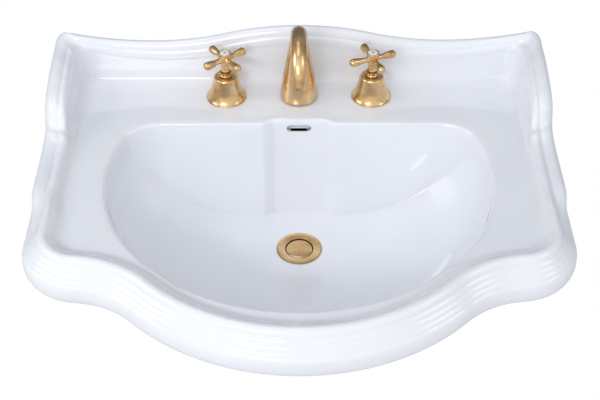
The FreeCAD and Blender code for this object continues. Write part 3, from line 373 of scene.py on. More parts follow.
@dataclass(frozen=True)
class TurnedMetal(Finish):
    """Machined or drawn metal left as it came off the tool, with fine turning marks."""

    name: str = "turned_brass"
    light: str = "#D8B36A"
    dark: str = "#A87F3E"
    mark_mm: float = 0.6
    roughness: float = 0.27

    def shade(self, tree: bpy.types.NodeTree) -> bpy.types.Node:
        """Adds a metal with rings of tool marks and slight tarnish."""
        place = add_node(tree, "ShaderNodeTexCoord")
        marks = add_node(tree, "ShaderNodeTexWave",
                         {"wave_type": "BANDS", "bands_direction": "Z"},
                         Vector=place.outputs["Object"], Scale=0.3 / (self.mark_mm * MM),
                         Distortion=1.5, Detail=2.0)
        tarnish = add_node(tree, "ShaderNodeTexNoise", Vector=place.outputs["Object"],
                           Scale=1.0 / (9.0 * MM), Detail=4.0, Roughness=0.6)
        colour = add_node(tree, "ShaderNodeMix", {"data_type": "RGBA"},
                          i0=tarnish.outputs["Fac"], i6=linear_rgb(self.dark),
                          i7=linear_rgb(self.light))
        bump = add_node(tree, "ShaderNodeBump", Strength=0.08, Distance=0.0002,
                        Height=marks.outputs["Fac"])
        return add_node(tree, "ShaderNodeBsdfPrincipled", Base_Color=colour.outputs[2],
                        Metallic=1.0, Roughness=self.roughness, Normal=bump.outputs["Normal"])


@dataclass(frozen=True)
class Moulded(Finish):
    """Moulded rubber, plastic, enamel or fired ceramic: even colour with a fine skin."""

    name: str = "moulded_rubber"
    light: str = "#2A2A2C"
    dark: str = "#18181A"
    grain_mm: float = 1.2
    roughness: float = 0.6
    grain_depth: float = 0.10

    def shade(self, tree: bpy.types.NodeTree) -> bpy.types.Node:
        """Adds a dielectric with slight mottling and a fine grain."""
        place = add_node(tree, "ShaderNodeTexCoord")
        grain = add_node(tree, "ShaderNodeTexNoise", Vector=place.outputs["Object"],
                         Scale=1.0 / (self.grain_mm * MM), Detail=3.0, Roughness=0.6)
        colour = add_node(tree, "ShaderNodeMix", {"data_type": "RGBA"},
                          i0=grain.outputs["Fac"], i6=linear_rgb(self.dark),
                          i7=linear_rgb(self.light))
        bump = add_node(tree, "ShaderNodeBump", Strength=self.grain_depth, Distance=0.0002,
                        Height=grain.outputs["Fac"])
        return add_node(tree, "ShaderNodeBsdfPrincipled", Base_Color=colour.outputs[2],
                        Roughness=self.roughness, Normal=bump.outputs["Normal"])


CHINA = GlazedChina()
BRASS = AntiqueBrass()
TURNED_BRASS = TurnedMetal()
COPPER = TurnedMetal("drawn_copper", "#D9906A", "#9C5A3A", 0.9, 0.30)
STEEL = TurnedMetal("stainless_steel_wire", "#C9CBCE", "#8E9196", 0.5, 0.25)
RUBBER = Moulded()
ACETAL = Moulded("moulded_acetal", "#B9BDC2", "#A4A8AE", 2.0, 0.42, 0.06)
ALUMINA = Moulded("lapped_alumina_ceramic", "#F2F0EA", "#E2DFD6", 1.0, 0.22, 0.04)
ENAMEL = Moulded("white_vitreous_enamel", "#F3F3F1", "#E6E6E6", 3.0, 0.12, 0.03)
INK_BLUE = Moulded("fired_blue_ink", "#5E7FA6", "#46658B", 1.0, 0.3, 0.02)
INK_RED = Moulded("fired_red_ink", "#A65E58", "#8B4640", 1.0, 0.3, 0.02)


# --- Basin -------------------------------------------------------------------------------------
@dataclass
class BasinPlan:
    """Plan outline of the basin in the row frame, in millimetres, and its insets."""

    half_width: float = 342.5
    depth: float = 545.0
    bow_radius: float = 285.0
    corner_radius: float = 76.0
    notch_radius: float = 115.0
    corner_from_wall: float = 353.0
    back_count: int = 84
    turn_count: int = 14
    side_count: int = 96
    corner_count: int = 34
    notch_count: int = 40
    bow_count: int = 56

    def __post_init__(self) -> None:
        """Works out the centres and angles of the front arcs."""
        self.corner_at = np.array([self.half_width - self.corner_radius, -self.corner_from_wall])
        self.bow_at = np.array([0.0, self.bow_radius - self.depth])
        apart = self.corner_at - self.bow_at
        span = float(np.linalg.norm(apart))
        near = self.corner_radius + self.notch_radius
        far = self.bow_radius + self.notch_radius
        along = (far ** 2 - near ** 2 + span ** 2) / (2 * span)
        aside = math.sqrt(far ** 2 - along ** 2)
        unit = apart / span
        self.notch_at = self.bow_at + unit * along + np.array([unit[1], -unit[0]]) * aside
        to_notch = self.notch_at - self.corner_at
        self.corner_end = math.atan2(to_notch[1], to_notch[0])
        self.notch_start = self.corner_end + math.pi
        bow_to_notch = self.notch_at - self.bow_at
        self.bow_start = math.atan2(bow_to_notch[1], bow_to_notch[0])
        self.notch_end = self.bow_start + math.pi

    def stations(self) -> tuple[np.ndarray, np.ndarray]:
        """Segment number and share along it, for each station of the right half.

        Returns:
            Segment numbers, 0 to 5 from the back's middle to the bow's middle, and shares 0 to 1.
        """
        counts = (self.back_count, self.turn_count, self.side_count, self.corner_count,
                  self.notch_count, self.bow_count)
        kinds, shares = [], []
        for kind, count in enumerate(counts):
            share = np.arange(count) / count
            if kind == 0:
                share = self.crowd(share)
            kinds.append(np.full(count, kind))
            shares.append(share)
        kinds.append(np.array([5]))
        shares.append(np.array([1.0]))
        return np.concatenate(kinds), np.concatenate(shares)

    def crowd(self, share: np.ndarray) -> np.ndarray:
        """Moves stations along the back towards the sides of the niche, where detail is fine."""
        fine = np.linspace(0.0, 1.0, 2001)
        density = 1.0 + 5.0 * np.exp(-((fine - 0.27) / 0.05) ** 2)
        total = np.concatenate([[0.0], np.cumsum((density[1:] + density[:-1]) / 2)])
        return np.interp(share, total / total[-1], fine)

    def place(self, kinds: np.ndarray, shares: np.ndarray, inset: np.ndarray, turn: float,
              side_inset: float, back_inset: float) -> np.ndarray:
        """Plan points of one ring of the right half.

        Args:
            kinds: Segment numbers.
            shares: Shares along the segments.
            inset: Distance in from the outline at each station.
            turn: Radius of the ring's rear corner.
            side_inset: Inset of the ring where the side begins.
            back_inset: Inset of the ring where the back ends.

        Returns:
            One point per station.
        """
        points = np.zeros((len(kinds), 2))
        edge_x = self.half_width - side_inset - turn
        edge_y = -back_inset - turn
        at_back, at_turn, at_side = kinds == 0, kinds == 1, kinds == 2
        points[at_back, 0] = shares[at_back] * edge_x
        points[at_back, 1] = -inset[at_back]
        angle = math.pi / 2 * (1 - shares[at_turn])
        points[at_turn, 0] = edge_x + turn * np.cos(angle)
        points[at_turn, 1] = edge_y + turn * np.sin(angle)
        points[at_side, 0] = self.half_width - inset[at_side]
        points[at_side, 1] = blend(edge_y, -self.corner_from_wall, shares[at_side])
        arcs = (
            (3, self.corner_at, self.corner_radius, -1.0, 0.0, self.corner_end),
            (4, self.notch_at, self.notch_radius, 1.0, self.notch_start, self.notch_end),
            (5, self.bow_at, self.bow_radius, -1.0, self.bow_start, -math.pi / 2),
        )
        for kind, centre, radius, sign, start, end in arcs:
            chosen = kinds == kind
            angle = blend(start, end, shares[chosen])
            reach = radius + sign * inset[chosen]
            points[chosen, 0] = centre[0] + reach * np.cos(angle)
            points[chosen, 1] = centre[1] + reach * np.sin(angle)
        return points


@dataclass
class Basin:
    """The china basin, one fired piece. Lengths in millimetres; heights are above the deck."""

    plan: BasinPlan = field(default_factory=BasinPlan)
    deck: float = 60.0
    bowl_depth: float = 144.0
    drain_from_wall: float = 220.0
    bowl_back: float = 125.0
    bowl_corner: float = 66.0
    bowl_half: float = 249.5
    bowl_front: float = 475.0
    wall_lean: float = 30.0
    wall_height: float = 130.0
    dish_power: float = 3.0
    niche_half: float = 42.0
    niche_back: float = 9.0
    niche_soft: float = 9.0
    lip_width: float = 10.0
    crease_width: float = 5.0
    china: float = 11.0
    deck_thick: float = 14.0
    flange_hole: float = 30.9
    waste_hole: float = 23.0
    boss: float = 38.0
    waste_under: float = 172.0
    foot_depth: float = 186.0
    foot_radius: float = 105.0
    skirt_inset: float = 22.0
    skirt_bottom: float = -57.0
    back_wave: tuple[Point, ...] = ((0, 82), (205, 57), (342, 73.5))
    wave_end_radius: float = 564.0
    side_heights: tuple[Point, ...] = (
        (-4, 67), (-20, 64.5), (-50, 63.5), (-80, 59.5), (-98, 55.5), (-112, 52), (-124, 47.5),
        (-134, 41.5), (-143, 33), (-151, 25), (-160, 19), (-172, 14.8), (-190, 12.3), (-219, 11),
        (-250, 11), (-262, 10.5))
    front_height: float = 15.0

    def back_top(self, x: np.ndarray) -> np.ndarray:
        """Height of the splash-back's crest at a distance from the middle."""
        crest, trough = self.back_wave[0][1], self.back_wave[1][1]
        run = self.back_wave[1][0]
        half = run / 2
        fall = crest - trough
        radius = (half ** 2 + (fall / 2) ** 2) / fall
        x = np.abs(np.asarray(x, float))
        first = crest - (radius - np.sqrt(radius ** 2 - np.minimum(x, half) ** 2))
        second = trough + (radius - np.sqrt(radius ** 2 - np.clip(run - x, 0, half) ** 2))
        end = trough + self.wave_end_radius - np.sqrt(
            self.wave_end_radius ** 2 - np.maximum(x - run, 0) ** 2)
        return np.where(x < half, first, np.where(x < run, second, end))

    def side_top(self, y: np.ndarray) -> np.ndarray:
        """Height of a side wall's crest at a place from the wall."""
        table = np.array(self.side_heights)[::-1]
        fine = np.linspace(table[0, 0], table[-1, 0], 400)
        heights = np.interp(fine, table[:, 0], table[:, 1])
        kernel = np.hanning(15)
        padded = np.pad(heights, 7, mode="edge")
        heights = np.convolve(padded, kernel / kernel.sum(), mode="valid")
        return np.interp(y, fine, heights)

    def torus_profile(self, flat: bool) -> list[Point]:
        """Skirt and large rounded moulding, from the bottom up; flat against a wall."""
        if flat:
            return ([(0.0, z) for z in np.linspace(self.skirt_bottom, -46, 3)]
                    + [(0.0, z) for z in np.linspace(-44, -8.5, 18)])
        skirt = [(self.skirt_inset, z) for z in np.linspace(self.skirt_bottom, -50.5, 3)]
        lower = bezier((self.skirt_inset - 0.5, -49.0), (10.0, -48.0), (0.0, -39.0), (0.0, -26.0), 9)
        upper = bezier((0.0, -23.0), (0.0, -16.0), (1.2, -12.2), (4.8, -10.0), 9)
        return skirt + lower + upper

    def front_profile(self) -> list[Point]:
        """Rim of the front: three shallow ridges, the crest and the hollow inner face."""
        line = self.torus_profile(False)
        line += bezier((5.0, -9.8), (5.5, -8.2), (7.5, -5.9), (9.5, -4.9), 8)
        line += bezier((9.7, -4.7), (10.3, -3.0), (12.3, -0.7), (14.3, 0.3), 8)
        line += bezier((14.5, 0.5), (15.1, 2.2), (17.0, 4.7), (19.1, 5.8), 10)
        line += bezier((19.4, 6.2), (20.8, 11.0), (23.8, 15.0), (28.0, 15.0), 9)
        line += bezier((29.0, 15.0), (32.6, 14.9), (34.6, 12.4), (37.6, 9.2), 9)
        line += bezier((38.4, 8.4), (42.5, 4.2), (47.0, 0.3), (58.0, 0.0), 12)
        return line

    def side_profile(self, top: float) -> list[Point]:
        """Tall side wall: plain outer face, top bead, groove, second bead, hollow inner face."""
        line = self.torus_profile(False)
        line += bezier((5.2, -9.6), (4.2, -8.4), (1.4, -7.0), (1.2, top - 20), 8)
        line += bezier((1.1, top - 19), (1.1, top - 16), (1.0, top - 14), (0.8, top - 12), 8)
        line += bezier((0.6, top - 11), (0.3, top - 0.2), (10.0, top + 3.0), (20.4, top - 3.4), 10)
        line += bezier((21.0, top - 4.0), (24.4, top - 2.8), (30.4, top - 5.0), (31.6, top - 13), 18)
        line += bezier((31.8, top - 15), (33.0, top * 0.35), (34.5, 2.6), (41.5, 0.0), 12)
        return line

    def low_profile(self, top: float) -> list[Point]:
        """Low side wall between the two steps of its crest."""
        line = self.torus_profile(False)
        line += bezier((5.2, -9.6), (4.2, -8.4), (1.6, -7.4), (1.3, -5.5), 8)
        line += bezier((1.2, -5.0), (1.1, -3.6), (1.0, -2.2), (0.9, -1.0), 8)
        line += bezier((0.8, 0.0), (0.8, top - 1.0), (9.0, top + 3.2), (20.4, top - 2.0), 10)
        line += bezier((21.0, top - 2.4), (24.0, top + 2.4), (30.0, top + 3.4), (34.6, top - 2.2), 18)
        line += bezier((35.0, top - 2.8), (37.4, 3.0), (40.0, 0.4), (47.0, 0.0), 12)
        return line

    def back_profile(self, top: float) -> list[Point]:
        """Splash-back: flat to the wall, top bead, groove, second bead, plain face, fillet."""
        line = self.torus_profile(True)
        line += [(0.0, z) for z in np.linspace(-8.0, top - 16, 8)]
        line += [(0.0, z) for z in np.linspace(top - 15, top - 8, 8)]
        line += bezier((0.0, top - 7), (0.0, top + 3.0), (13.6, top + 3.2), (14.7, top - 11), 10)
        line += bezier((14.9, top - 12), (17.6, top - 13), (18.2, top - 20), (17.3, top - 25), 18)
        line += bezier((17.4, top - 26), (18.0, 12.0), (18.6, 1.4), (26.0, 0.0), 12)
        return line

    def wall_rings(self) -> tuple[np.ndarray, np.ndarray]:
        """Rings from the bottom of the skirt, over the rim, to the deck.

        Returns:
            Plan points (ring, station, 2) in the row frame and heights (ring, station).
        """
        plan = self.plan
        kinds, shares = plan.stations()
        side_y = blend(-12.0, -plan.corner_from_wall, shares)
        back_x = shares * (plan.half_width - 12.0)
        profiles = []
        for kind, share, y, x in zip(kinds, shares, side_y, back_x):
            if kind == 0:
                shape = np.array(self.back_profile(float(self.back_top(x))))
            elif kind == 1:
                turn = float(smooth(0.0, 1.0, share))
                top = blend(float(self.back_top(plan.half_width - 12.0)),
                            float(self.side_top(-12.0)), share)
                shape = blend(np.array(self.back_profile(top)), np.array(self.side_profile(top)),
                              turn)
            elif kind == 2:
                top = float(self.side_top(y))
                low = np.array(self.low_profile(min(top, 20.0)))
                tall = float(smooth(15.0, 46.0, top))
                shape = blend(low, np.array(self.side_profile(max(top, 24.0))), tall)
                front = np.array(self.front_profile())
                inward = float(smooth(-262.0, -348.0, y))
                downward = float(smooth(-262.0, -308.0, y))
                shape = np.column_stack([blend(shape[:, 0], front[:, 0], inward),
                                         blend(shape[:, 1], front[:, 1], downward)])
            else:
                shape = np.array(self.front_profile())
            profiles.append(shape)
        table = np.array(profiles)
        rings = table.shape[1]
        points = np.zeros((rings, len(kinds), 2))
        start_side = int(np.argmax(kinds == 2))
        for k in range(rings):
            inset = table[:, k, 0]
            side_inset = inset[start_side]
            turn = float(np.clip(12.0 + (side_inset - 3.0) * 0.34, 11.0, 26.0))
            points[k] = plan.place(kinds, shares, inset, turn, side_inset, inset[0])
        heights = table[:, :, 1].T
        return points, heights

    def edge_depth(self, x: np.ndarray, y: np.ndarray, niche: bool = True) -> np.ndarray:
        """Distance inside the bowl's edge; negative on the deck. Row frame."""
        side = self.bowl_half - self.bowl_corner
        rear = -self.bowl_back - self.bowl_corner
        qx, qy = np.abs(x) - side, y - rear
        inside = self.bowl_corner - np.where((qx > 0) & (qy > 0), np.hypot(qx, qy),
                                             np.maximum(qx, qy))
        centre = -235.0
        reach = self.bowl_front + centre
        ratio = np.hypot(x / (self.bowl_half + 0.5), (y - centre) / reach)
        ellipse = (1.0 - ratio) * reach
        depth = np.where(y > centre + 9.0, inside, ellipse)
        if niche:
            push = self.niche_back * (1 - smooth(self.niche_half - self.niche_soft,
                                                 self.niche_half + self.niche_soft, np.abs(x)))
            depth = np.where(y > centre + 9.0, depth + push, depth)
        return depth

    def bowl_height(self, x: np.ndarray, y: np.ndarray) -> np.ndarray:
        """Height of the bowl's surface above the deck before its edges are rounded."""
        centre = -235.0
        reach = self.bowl_front + centre
        ratio = np.hypot(x / (self.bowl_half + 0.5), (y - centre) / reach)
        dish = -self.bowl_depth * np.sqrt(np.clip(1.0 - ratio ** self.dish_power, 0.0, 1.0))
        depth = np.maximum(self.edge_depth(x, y), 0.0)
        lean = self.wall_lean / (1.0 + np.clip((centre + 9.0 - y) / 12.0, 0.0, 40.0))
        wall = -self.wall_height * (depth / lean) ** (1.0 / 1.35)
        soft = 1.0
        share = np.clip(0.5 + 0.5 * (dish - wall) / soft, 0.0, 1.0)
        height = blend(wall, dish, share) + soft * share * (1.0 - share)
        height = np.minimum(height, 0.0)
        return np.where(self.edge_depth(x, y) > 0.0, height, 0.0)

    def round_over(self, heights: np.ndarray, width: float) -> np.ndarray:
        """Rounds the corners of a profile, sampled every half millimetre, over a width."""
        kernel = np.hanning(2 * int(width) + 3)
        pad = len(kernel) // 2
        padded = np.pad(heights, pad, mode="edge")
        return np.convolve(padded, kernel / kernel.sum(), mode="valid")[:len(heights)]

    def ray_lines(self, foot: np.ndarray) -> list[np.ndarray]:
        """Path from each foot point of the rim over the deck and down to the waste.

        Args:
            foot: Plan points of the rim's inner foot, in the row frame.

        Returns:
            For each station, closely spaced points with heights above the deck.
        """
        drain = np.array([0.0, -self.drain_from_wall])
        lines = []
        for point in foot:
            steps = np.linspace(0.0, 1.0, 1200)[:, None]
            straight = point + (drain - point) * steps
            depth = self.edge_depth(straight[:, 0], straight[:, 1], niche=False)
            edge = straight[int(np.argmax(depth > 0.0))]
            toward = (edge - drain) / np.linalg.norm(edge - drain)
            inner = drain + toward * self.flange_hole
            share = np.linspace(0.0, 1.0, 700)
            bend = np.stack([inner[0] + (edge[0] - inner[0]) * (1 - share ** 1.7),
                             edge[1] + (inner[1] - edge[1]) * share], axis=1)
            path = np.concatenate([np.linspace(point, edge, 200)[:-1], bend])
            length = float(np.sum(np.linalg.norm(np.diff(path, axis=0), axis=1)))
            path = resample(path, int(length / 0.5) + 2)
            raw = self.bowl_height(path[:, 0], path[:, 1])
            raw = np.maximum(raw, -self.bowl_depth)
            inward = self.edge_depth(path[:, 0], path[:, 1])
            height = blend(self.round_over(raw, self.lip_width),
                           self.round_over(raw, self.crease_width), smooth(14.0, 24.0, inward))
            lines.append(np.column_stack([path, height]))
        return lines

    def deck_and_bowl(self, lines: list[np.ndarray]) -> np.ndarray:
        """Rings over the deck and bowl, evenly spaced down each path.

        Args:
            lines: Paths from the rim's foot to the waste.

        Returns:
            Points (ring, station, 3).
        """
        columns = []
        for line in lines:
            inside = int(np.argmax(line[:, 2] < -0.02))
            start = max(inside - 2, 2)
            deck = resample(line[:start + 1], 9)[1:-1]
            bowl = resample(line[start:], 112)
            columns.append(np.concatenate([deck, bowl]))
        return np.transpose(np.array(columns), (1, 0, 2))

    def underside(self, lines: list[np.ndarray]) -> np.ndarray:
        """Rings of the underside from the waste's boss out to the skirt.

        Args:
            lines: Paths from the rim's foot to the waste.

        Returns:
            Points (ring, station, 3).
        """
        reach = int(self.china / 0.5)
        offsets = np.arange(-reach, reach + 1)
        drop = np.sqrt(np.maximum(self.china ** 2 - (offsets * 0.5) ** 2, 0.0))
        drain = np.array([0.0, -self.drain_from_wall])
        columns = []
        for line in lines:
            padded = np.pad(line[:, 2], reach, mode="edge")
            layers = [padded[reach + o:reach + o + len(line)] - d for o, d in zip(offsets, drop)]
            under = np.minimum(np.min(layers, axis=0), -self.deck_thick)
            away = np.linalg.norm(line[:, :2] - drain, axis=1)
            keep = away > self.boss
            shell = np.column_stack([line[keep, :2], under[keep]])[::-1]
            columns.append(resample(shell, 48))
        return np.transpose(np.array(columns), (1, 0, 2))

    def circle_rings(self, lines: list[np.ndarray], sizes: Iterable[Point]) -> np.ndarray:
        """Rings round the waste at given radii and heights above the deck."""
        drain = np.array([0.0, -self.drain_from_wall])
        ends = np.array([line[-1, :2] for line in lines]) - drain
        toward = ends / np.linalg.norm(ends, axis=1)[:, None]
        return np.array([
            np.column_stack([drain + toward * radius, np.full(len(lines), height)])
            for radius, height in sizes
        ])

    def skirt_inside(self) -> np.ndarray:
        """Rings down the inner face of the skirt.

        Returns:
            Points (ring, station, 3).
        """
        kinds, shares = self.plan.stations()
        inner = self.skirt_inset + 14.0
        inset = np.where(kinds <= 1, 16.0, inner)
        low = self.skirt_bottom
        rings = []
        for height in (-self.deck_thick, -self.deck_thick - 3.0, -30.0, -45.0, low + 2.0, low):
            grow = 2.0 if height == low else 0.0
            flat = self.plan.place(kinds, shares, inset - grow, 12.0, inner - grow, 16.0 - grow)
            rings.append(np.column_stack([flat, np.full(len(kinds), height)]))
        return np.array(rings)

    def shell(self) -> bpy.types.Object:
        """The whole cast shell: skirt, rim, deck, bowl and underside, as one closed skin."""
        plan_points, heights = self.wall_rings()
        wall = np.concatenate([plan_points, heights[:, :, None]], axis=2)
        lines = self.ray_lines(plan_points[-1])
        drop = self.bowl_depth + 3.5
        hole = self.circle_rings(lines, [
            (self.flange_hole, -drop + 0.6), (self.flange_hole - 0.6, -drop),
            (self.waste_hole + 1.0, -drop), (self.waste_hole, -drop - 1.0),
            (self.waste_hole, -self.waste_under + 1.0), (self.waste_hole + 1.0, -self.waste_under),
            (self.boss - 1.5, -self.waste_under), (self.boss, -self.waste_under + 1.5)])
        rings = np.concatenate([wall, self.deck_and_bowl(lines), hole, self.underside(lines),
                                self.skirt_inside()])
        rings[:, :, 2] += self.deck
        mirrored = rings[:, -2:0:-1].copy()
        mirrored[:, :, 0] *= -1
        whole = np.concatenate([rings, mirrored], axis=1)
        whole[:, 0, 0] = 0.0
        count = whole.shape[1]
        faces = grid_faces(whole.shape[0], count, True, True)
        obj = make_object("china_shell", whole.reshape(-1, 3), faces)
        tidy_mesh(obj)
        return obj

    def block(self, name: str, low: tuple[float, float, float], high: tuple[float, float, float],
              rounding: float) -> bpy.types.Object:
        """Block of china with rounded edges; corners in the row frame."""
        corners = [(x, y, z) for z in (low[2], high[2]) for y in (low[1], high[1])
                   for x in (low[0], high[0])]
        faces = [(0, 2, 3, 1), (4, 5, 7, 6), (0, 1, 5, 4), (2, 6, 7, 3), (0, 4, 6, 2), (1, 3, 7, 5)]
        obj = make_object(name, np.array(corners), faces)
        bevel = obj.modifiers.new("rounding", "BEVEL")
        bevel.width = rounding * MM
        bevel.segments = 4
        apply_modifiers(obj)
        obj.data.polygons.foreach_set("use_smooth", [True] * len(obj.data.polygons))
        return obj

    def slot_cutter(self, depth: float) -> bpy.types.Object:
        """Rounded slot for the overflow, from inside the bowl to a depth behind the niche."""
        half, low, high = 17.0, -20.3, -8.6
        radius = (high - low) / 2
        middle = (high + low) / 2
        outline = arc_points((half - radius, middle), radius, -90, 90, 20)
        outline += arc_points((-half + radius, middle), radius, 90, 270, 20)
        y0, y1 = -self.bowl_back - 14.0, -self.bowl_back + depth
        points = [(x, y0, z + self.deck) for x, z in outline]
        points += [(x, y1, z + self.deck) for x, z in outline]
        count = len(outline)
        faces = [tuple(range(count))[::-1], tuple(range(count, 2 * count))]
        faces += [(i, (i + 1) % count, count + (i + 1) % count, count + i) for i in range(count)]
        obj = make_object("slot", np.array(points), faces)
        tidy_mesh(obj)
        return obj

    def foot(self) -> bpy.types.Object:
        """Ring that stands on the pedestal, open at the rear for the pipes."""
        outer, inner = self.foot_radius, self.foot_radius - 14.0
        low, high = self.deck - self.foot_depth, self.deck - self.bowl_depth - 5.0
        gap = math.degrees(math.asin(55.0 / outer))
        angles = np.radians(np.linspace(90 + gap, 450 - gap, 120))
        section = [(outer, high), (outer, low + 1.5), (outer - 1.5, low), (inner + 1.5, low),
                   (inner, low + 1.5), (inner, high)]
        points = [(r * math.cos(a), r * math.sin(a) - self.drain_from_wall, z)
                  for a in angles for r, z in section]
        count = len(section)
        faces = grid_faces(len(angles), count, False, True)
        last = (len(angles) - 1) * count
        faces += [tuple(range(count)), tuple(range(last + count - 1, last - 1, -1))]
        obj = make_object("china_foot", np.array(points), faces)
        tidy_mesh(obj)
        return obj

    def build(self) -> bpy.types.Object:
        """Makes the basin and puts it on the frame.

        Returns:
            The finished object.
        """
        shell = self.shell()
        holes = [lathe("hole", [(0, -30), (17.5, -30), (17.5, 12), (0, 12)], (x, -60.0, self.deck), 48)
                 for x in (-101.6, 0.0, 101.6)]
        cut(shell, holes + [self.slot_cutter(26.0)])
        rear = -self.bowl_back + self.niche_back
        duct = self.block("duct", (-27.0, rear + 2.0, self.deck - self.waste_under),
                          (27.0, rear + 28.0, self.deck - self.deck_thick + 1.0), 3.0)
        cut(duct, [self.slot_cutter(26.0)])
        run = self.block("duct_run", (-27.0, -self.drain_from_wall + 20.0,
                                      self.deck - self.waste_under),
                         (27.0, rear + 28.0, self.deck - self.waste_under + 26.0), 3.0)
        panel = self.block("back_panel", (-190.0, -16.0, self.deck - 112.0),
                           (190.0, -0.2, self.deck - self.deck_thick + 2.0), 2.0)
        for body in (shell, panel):
            bolts = []
            for x in (-140.0, 140.0):
                bolt = lathe("bolt", [(0, -50), (7.0, -50), (7.0, 50), (0, 50)], (0, 0, 0), 32)
                bolt.rotation_euler = (math.pi / 2, 0, 0)
                bolt.location = (x * MM, 0, 0)
                bolts.append(bolt)
            bpy.context.view_layer.update()
            cut(body, bolts)
        whole = join("basin_china", [shell, duct, run, panel, self.foot()])
        CHINA.dress(whole)
        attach(whole, ROOT_BODY)
        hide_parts("basin")
        return whole


# --- Taps and spout ----------------------------------------------------------------------------
@dataclass
class CrossTap:
    """One pillar tap: bell, neck ring and four-armed handle. Lengths in millimetres."""

    name: str
    side: int
    arm_angle: float
    ink: Moulded
    spacing: float = 203.2
    from_wall: float = 60.0
    deck: float = 60.0
    bell_radius: float = 28.4
    bell_height: float = 36.0
    arm_height: float = 63.5
    arm_reach: float = 34.4
    bulb: float = 5.8
    hub_bottom: float = 45.0
    hub_top: float = 70.4

    def at(self, height: float = 0.0) -> tuple[float, float, float]:
        """Point on the tap's axis, a height above the deck."""
        return (self.side * self.spacing / 2, -self.from_wall, self.deck + height)

    def bell(self) -> bpy.types.Object:
        """Hollow bell with a thin foot, a long hollow flare and a rounded flat top."""
        r, top = self.bell_radius, self.bell_height
        outer = [(r - 0.5, 0.0)]
        outer += arc_points((r - 0.9, 1.0), 0.9, -60, 90, 8)
        outer += bezier((r - 1.5, 2.5), (24.4, 5.4), (22.2, 11.0), (20.8, 16.0), 18)
        outer += bezier((20.6, 16.8), (19.2, 22.0), (18.0, 27.0), (17.1, top - 4.2), 14)
        outer += bezier((17.0, top - 3.8), (16.7, top - 1.6), (15.8, top), (13.6, top), 9)
        outer += [(11.0, top), (8.2, top)]
        inner = [(8.2, top - 2.2), (13.2, top - 2.2)]
        inner += bezier((14.8, top - 4.0), (16.2, 24.0), (19.0, 12.0), (25.6, 1.2), 14)
        inner += [(26.2, 0.0)]
        return lathe(self.name + "_bell", outer + inner, self.at(), 128, closed=True)

    def neck(self) -> bpy.types.Object:
        """Ring nut over the bell: a quirk, a round bead and a narrower fillet."""
        low = self.bell_height
        line = [(8.1, low), (8.5, low + 0.1), (8.5, low + 1.0)]
        line += arc_points((7.7, low + 2.7), 1.6, -75, 80, 12)
        line += bezier((8.1, low + 4.4), (7.9, low + 4.9), (8.0, low + 5.6), (8.6, low + 6.4), 8)
        line += [(8.5, low + 6.9), (8.1, low + 7.0), (8.1, low + 0.4)]
        return lathe(self.name + "_neck_ring", line, self.at(), 96, closed=True)

    def hub(self) -> bpy.types.Object:
        """Turned hub of the handle, from its skirt to the seat of the cap."""
        low, top = self.hub_bottom, self.hub_top
        line = [(4.2, low), (6.3, low), (6.9, low + 0.5)]
        line += bezier((7.0, low + 1.0), (6.0, low + 2.6), (5.6, low + 5.6), (6.4, low + 9.0), 10)
        line += bezier((6.6, low + 9.8), (7.6, low + 13.0), (7.8, low + 18.0), (7.4, top - 4.2), 14)
        line += bezier((7.4, top - 3.6), (7.5, top - 2.4), (8.4, top - 2.2), (8.5, top - 1.0), 8)
        line += [(8.3, top - 0.4), (4.2, top - 0.3)]
        return lathe(self.name + "_hub", line, self.at(), 96, closed=True)

    def arm(self, angle: float) -> bpy.types.Object:
        """Teardrop arm: a waisted root swelling to a round bulb."""
        bulb_at = self.arm_reach - self.bulb
        line = [(0.0, 3.0), (4.6, 3.0)]
        line += bezier((4.8, 5.0), (3.9, 7.6), (3.4, 11.5), (3.9, 16.0), 16)
        line += bezier((4.1, 17.0), (4.8, 20.4), (5.7, 23.8), (self.bulb, bulb_at), 12)
        line += bezier((self.bulb, bulb_at + 0.8), (self.bulb, bulb_at + 3.4),
                       (3.2, self.arm_reach), (0.0, self.arm_reach), 14)
        obj = lathe(self.name + "_arm", line, (0, 0, 0), 64)
        points = np.empty(len(obj.data.vertices) * 3)
        obj.data.vertices.foreach_get("co", points)
        points = points.reshape(-1, 3)
        turn = math.radians(angle)
        along = np.array([math.cos(turn), math.sin(turn), 0.0])
        across = np.array([-math.sin(turn), math.cos(turn), 0.0])
        up = np.array([0.0, 0.0, 1.0])
        placed = (points[:, 2:3] * along + points[:, 0:1] * across + points[:, 1:2] * up)
        placed += np.array(self.at(self.arm_height)) * MM
        obj.data.vertices.foreach_set("co", placed.reshape(-1))
        obj.data.update()
        tidy_mesh(obj)
        return obj

    def cap(self) -> bpy.types.Object:
        """Brass rim that frames the index disc."""
        low = self.hub_top
        line = [(3.0, low - 0.2), (7.9, low), (8.3, low + 0.4)]
        line += arc_points((7.7, low + 2.4), 0.95, -30, 140, 10)
        line += [(6.95, low + 2.6), (6.9, low + 2.2), (3.0, low + 2.2)]
        return lathe(self.name + "_cap", line, self.at(), 96, closed=True)

    def disc(self) -> bpy.types.Object:
        """Slightly domed white enamel disc in the cap."""
        low = self.hub_top + 2.3
        line = [(0.0, low), (6.85, low), (6.85, low + 0.35)]
        line += bezier((6.7, low + 0.55), (5.0, low + 0.95), (2.5, low + 1.1), (0.0, low + 1.15), 10)
        return lathe(self.name + "_disc", line, self.at(), 96)

    def mark(self) -> bpy.types.Object:
        """Plain coloured dot on the enamel, which tells hot from cold."""
        low = self.hub_top + 3.15
        line = [(0.0, low), (1.5, low), (1.5, low + 0.24), (1.35, low + 0.3), (0.0, low + 0.34)]
        return lathe(self.name + "_dot", line, self.at(), 48)

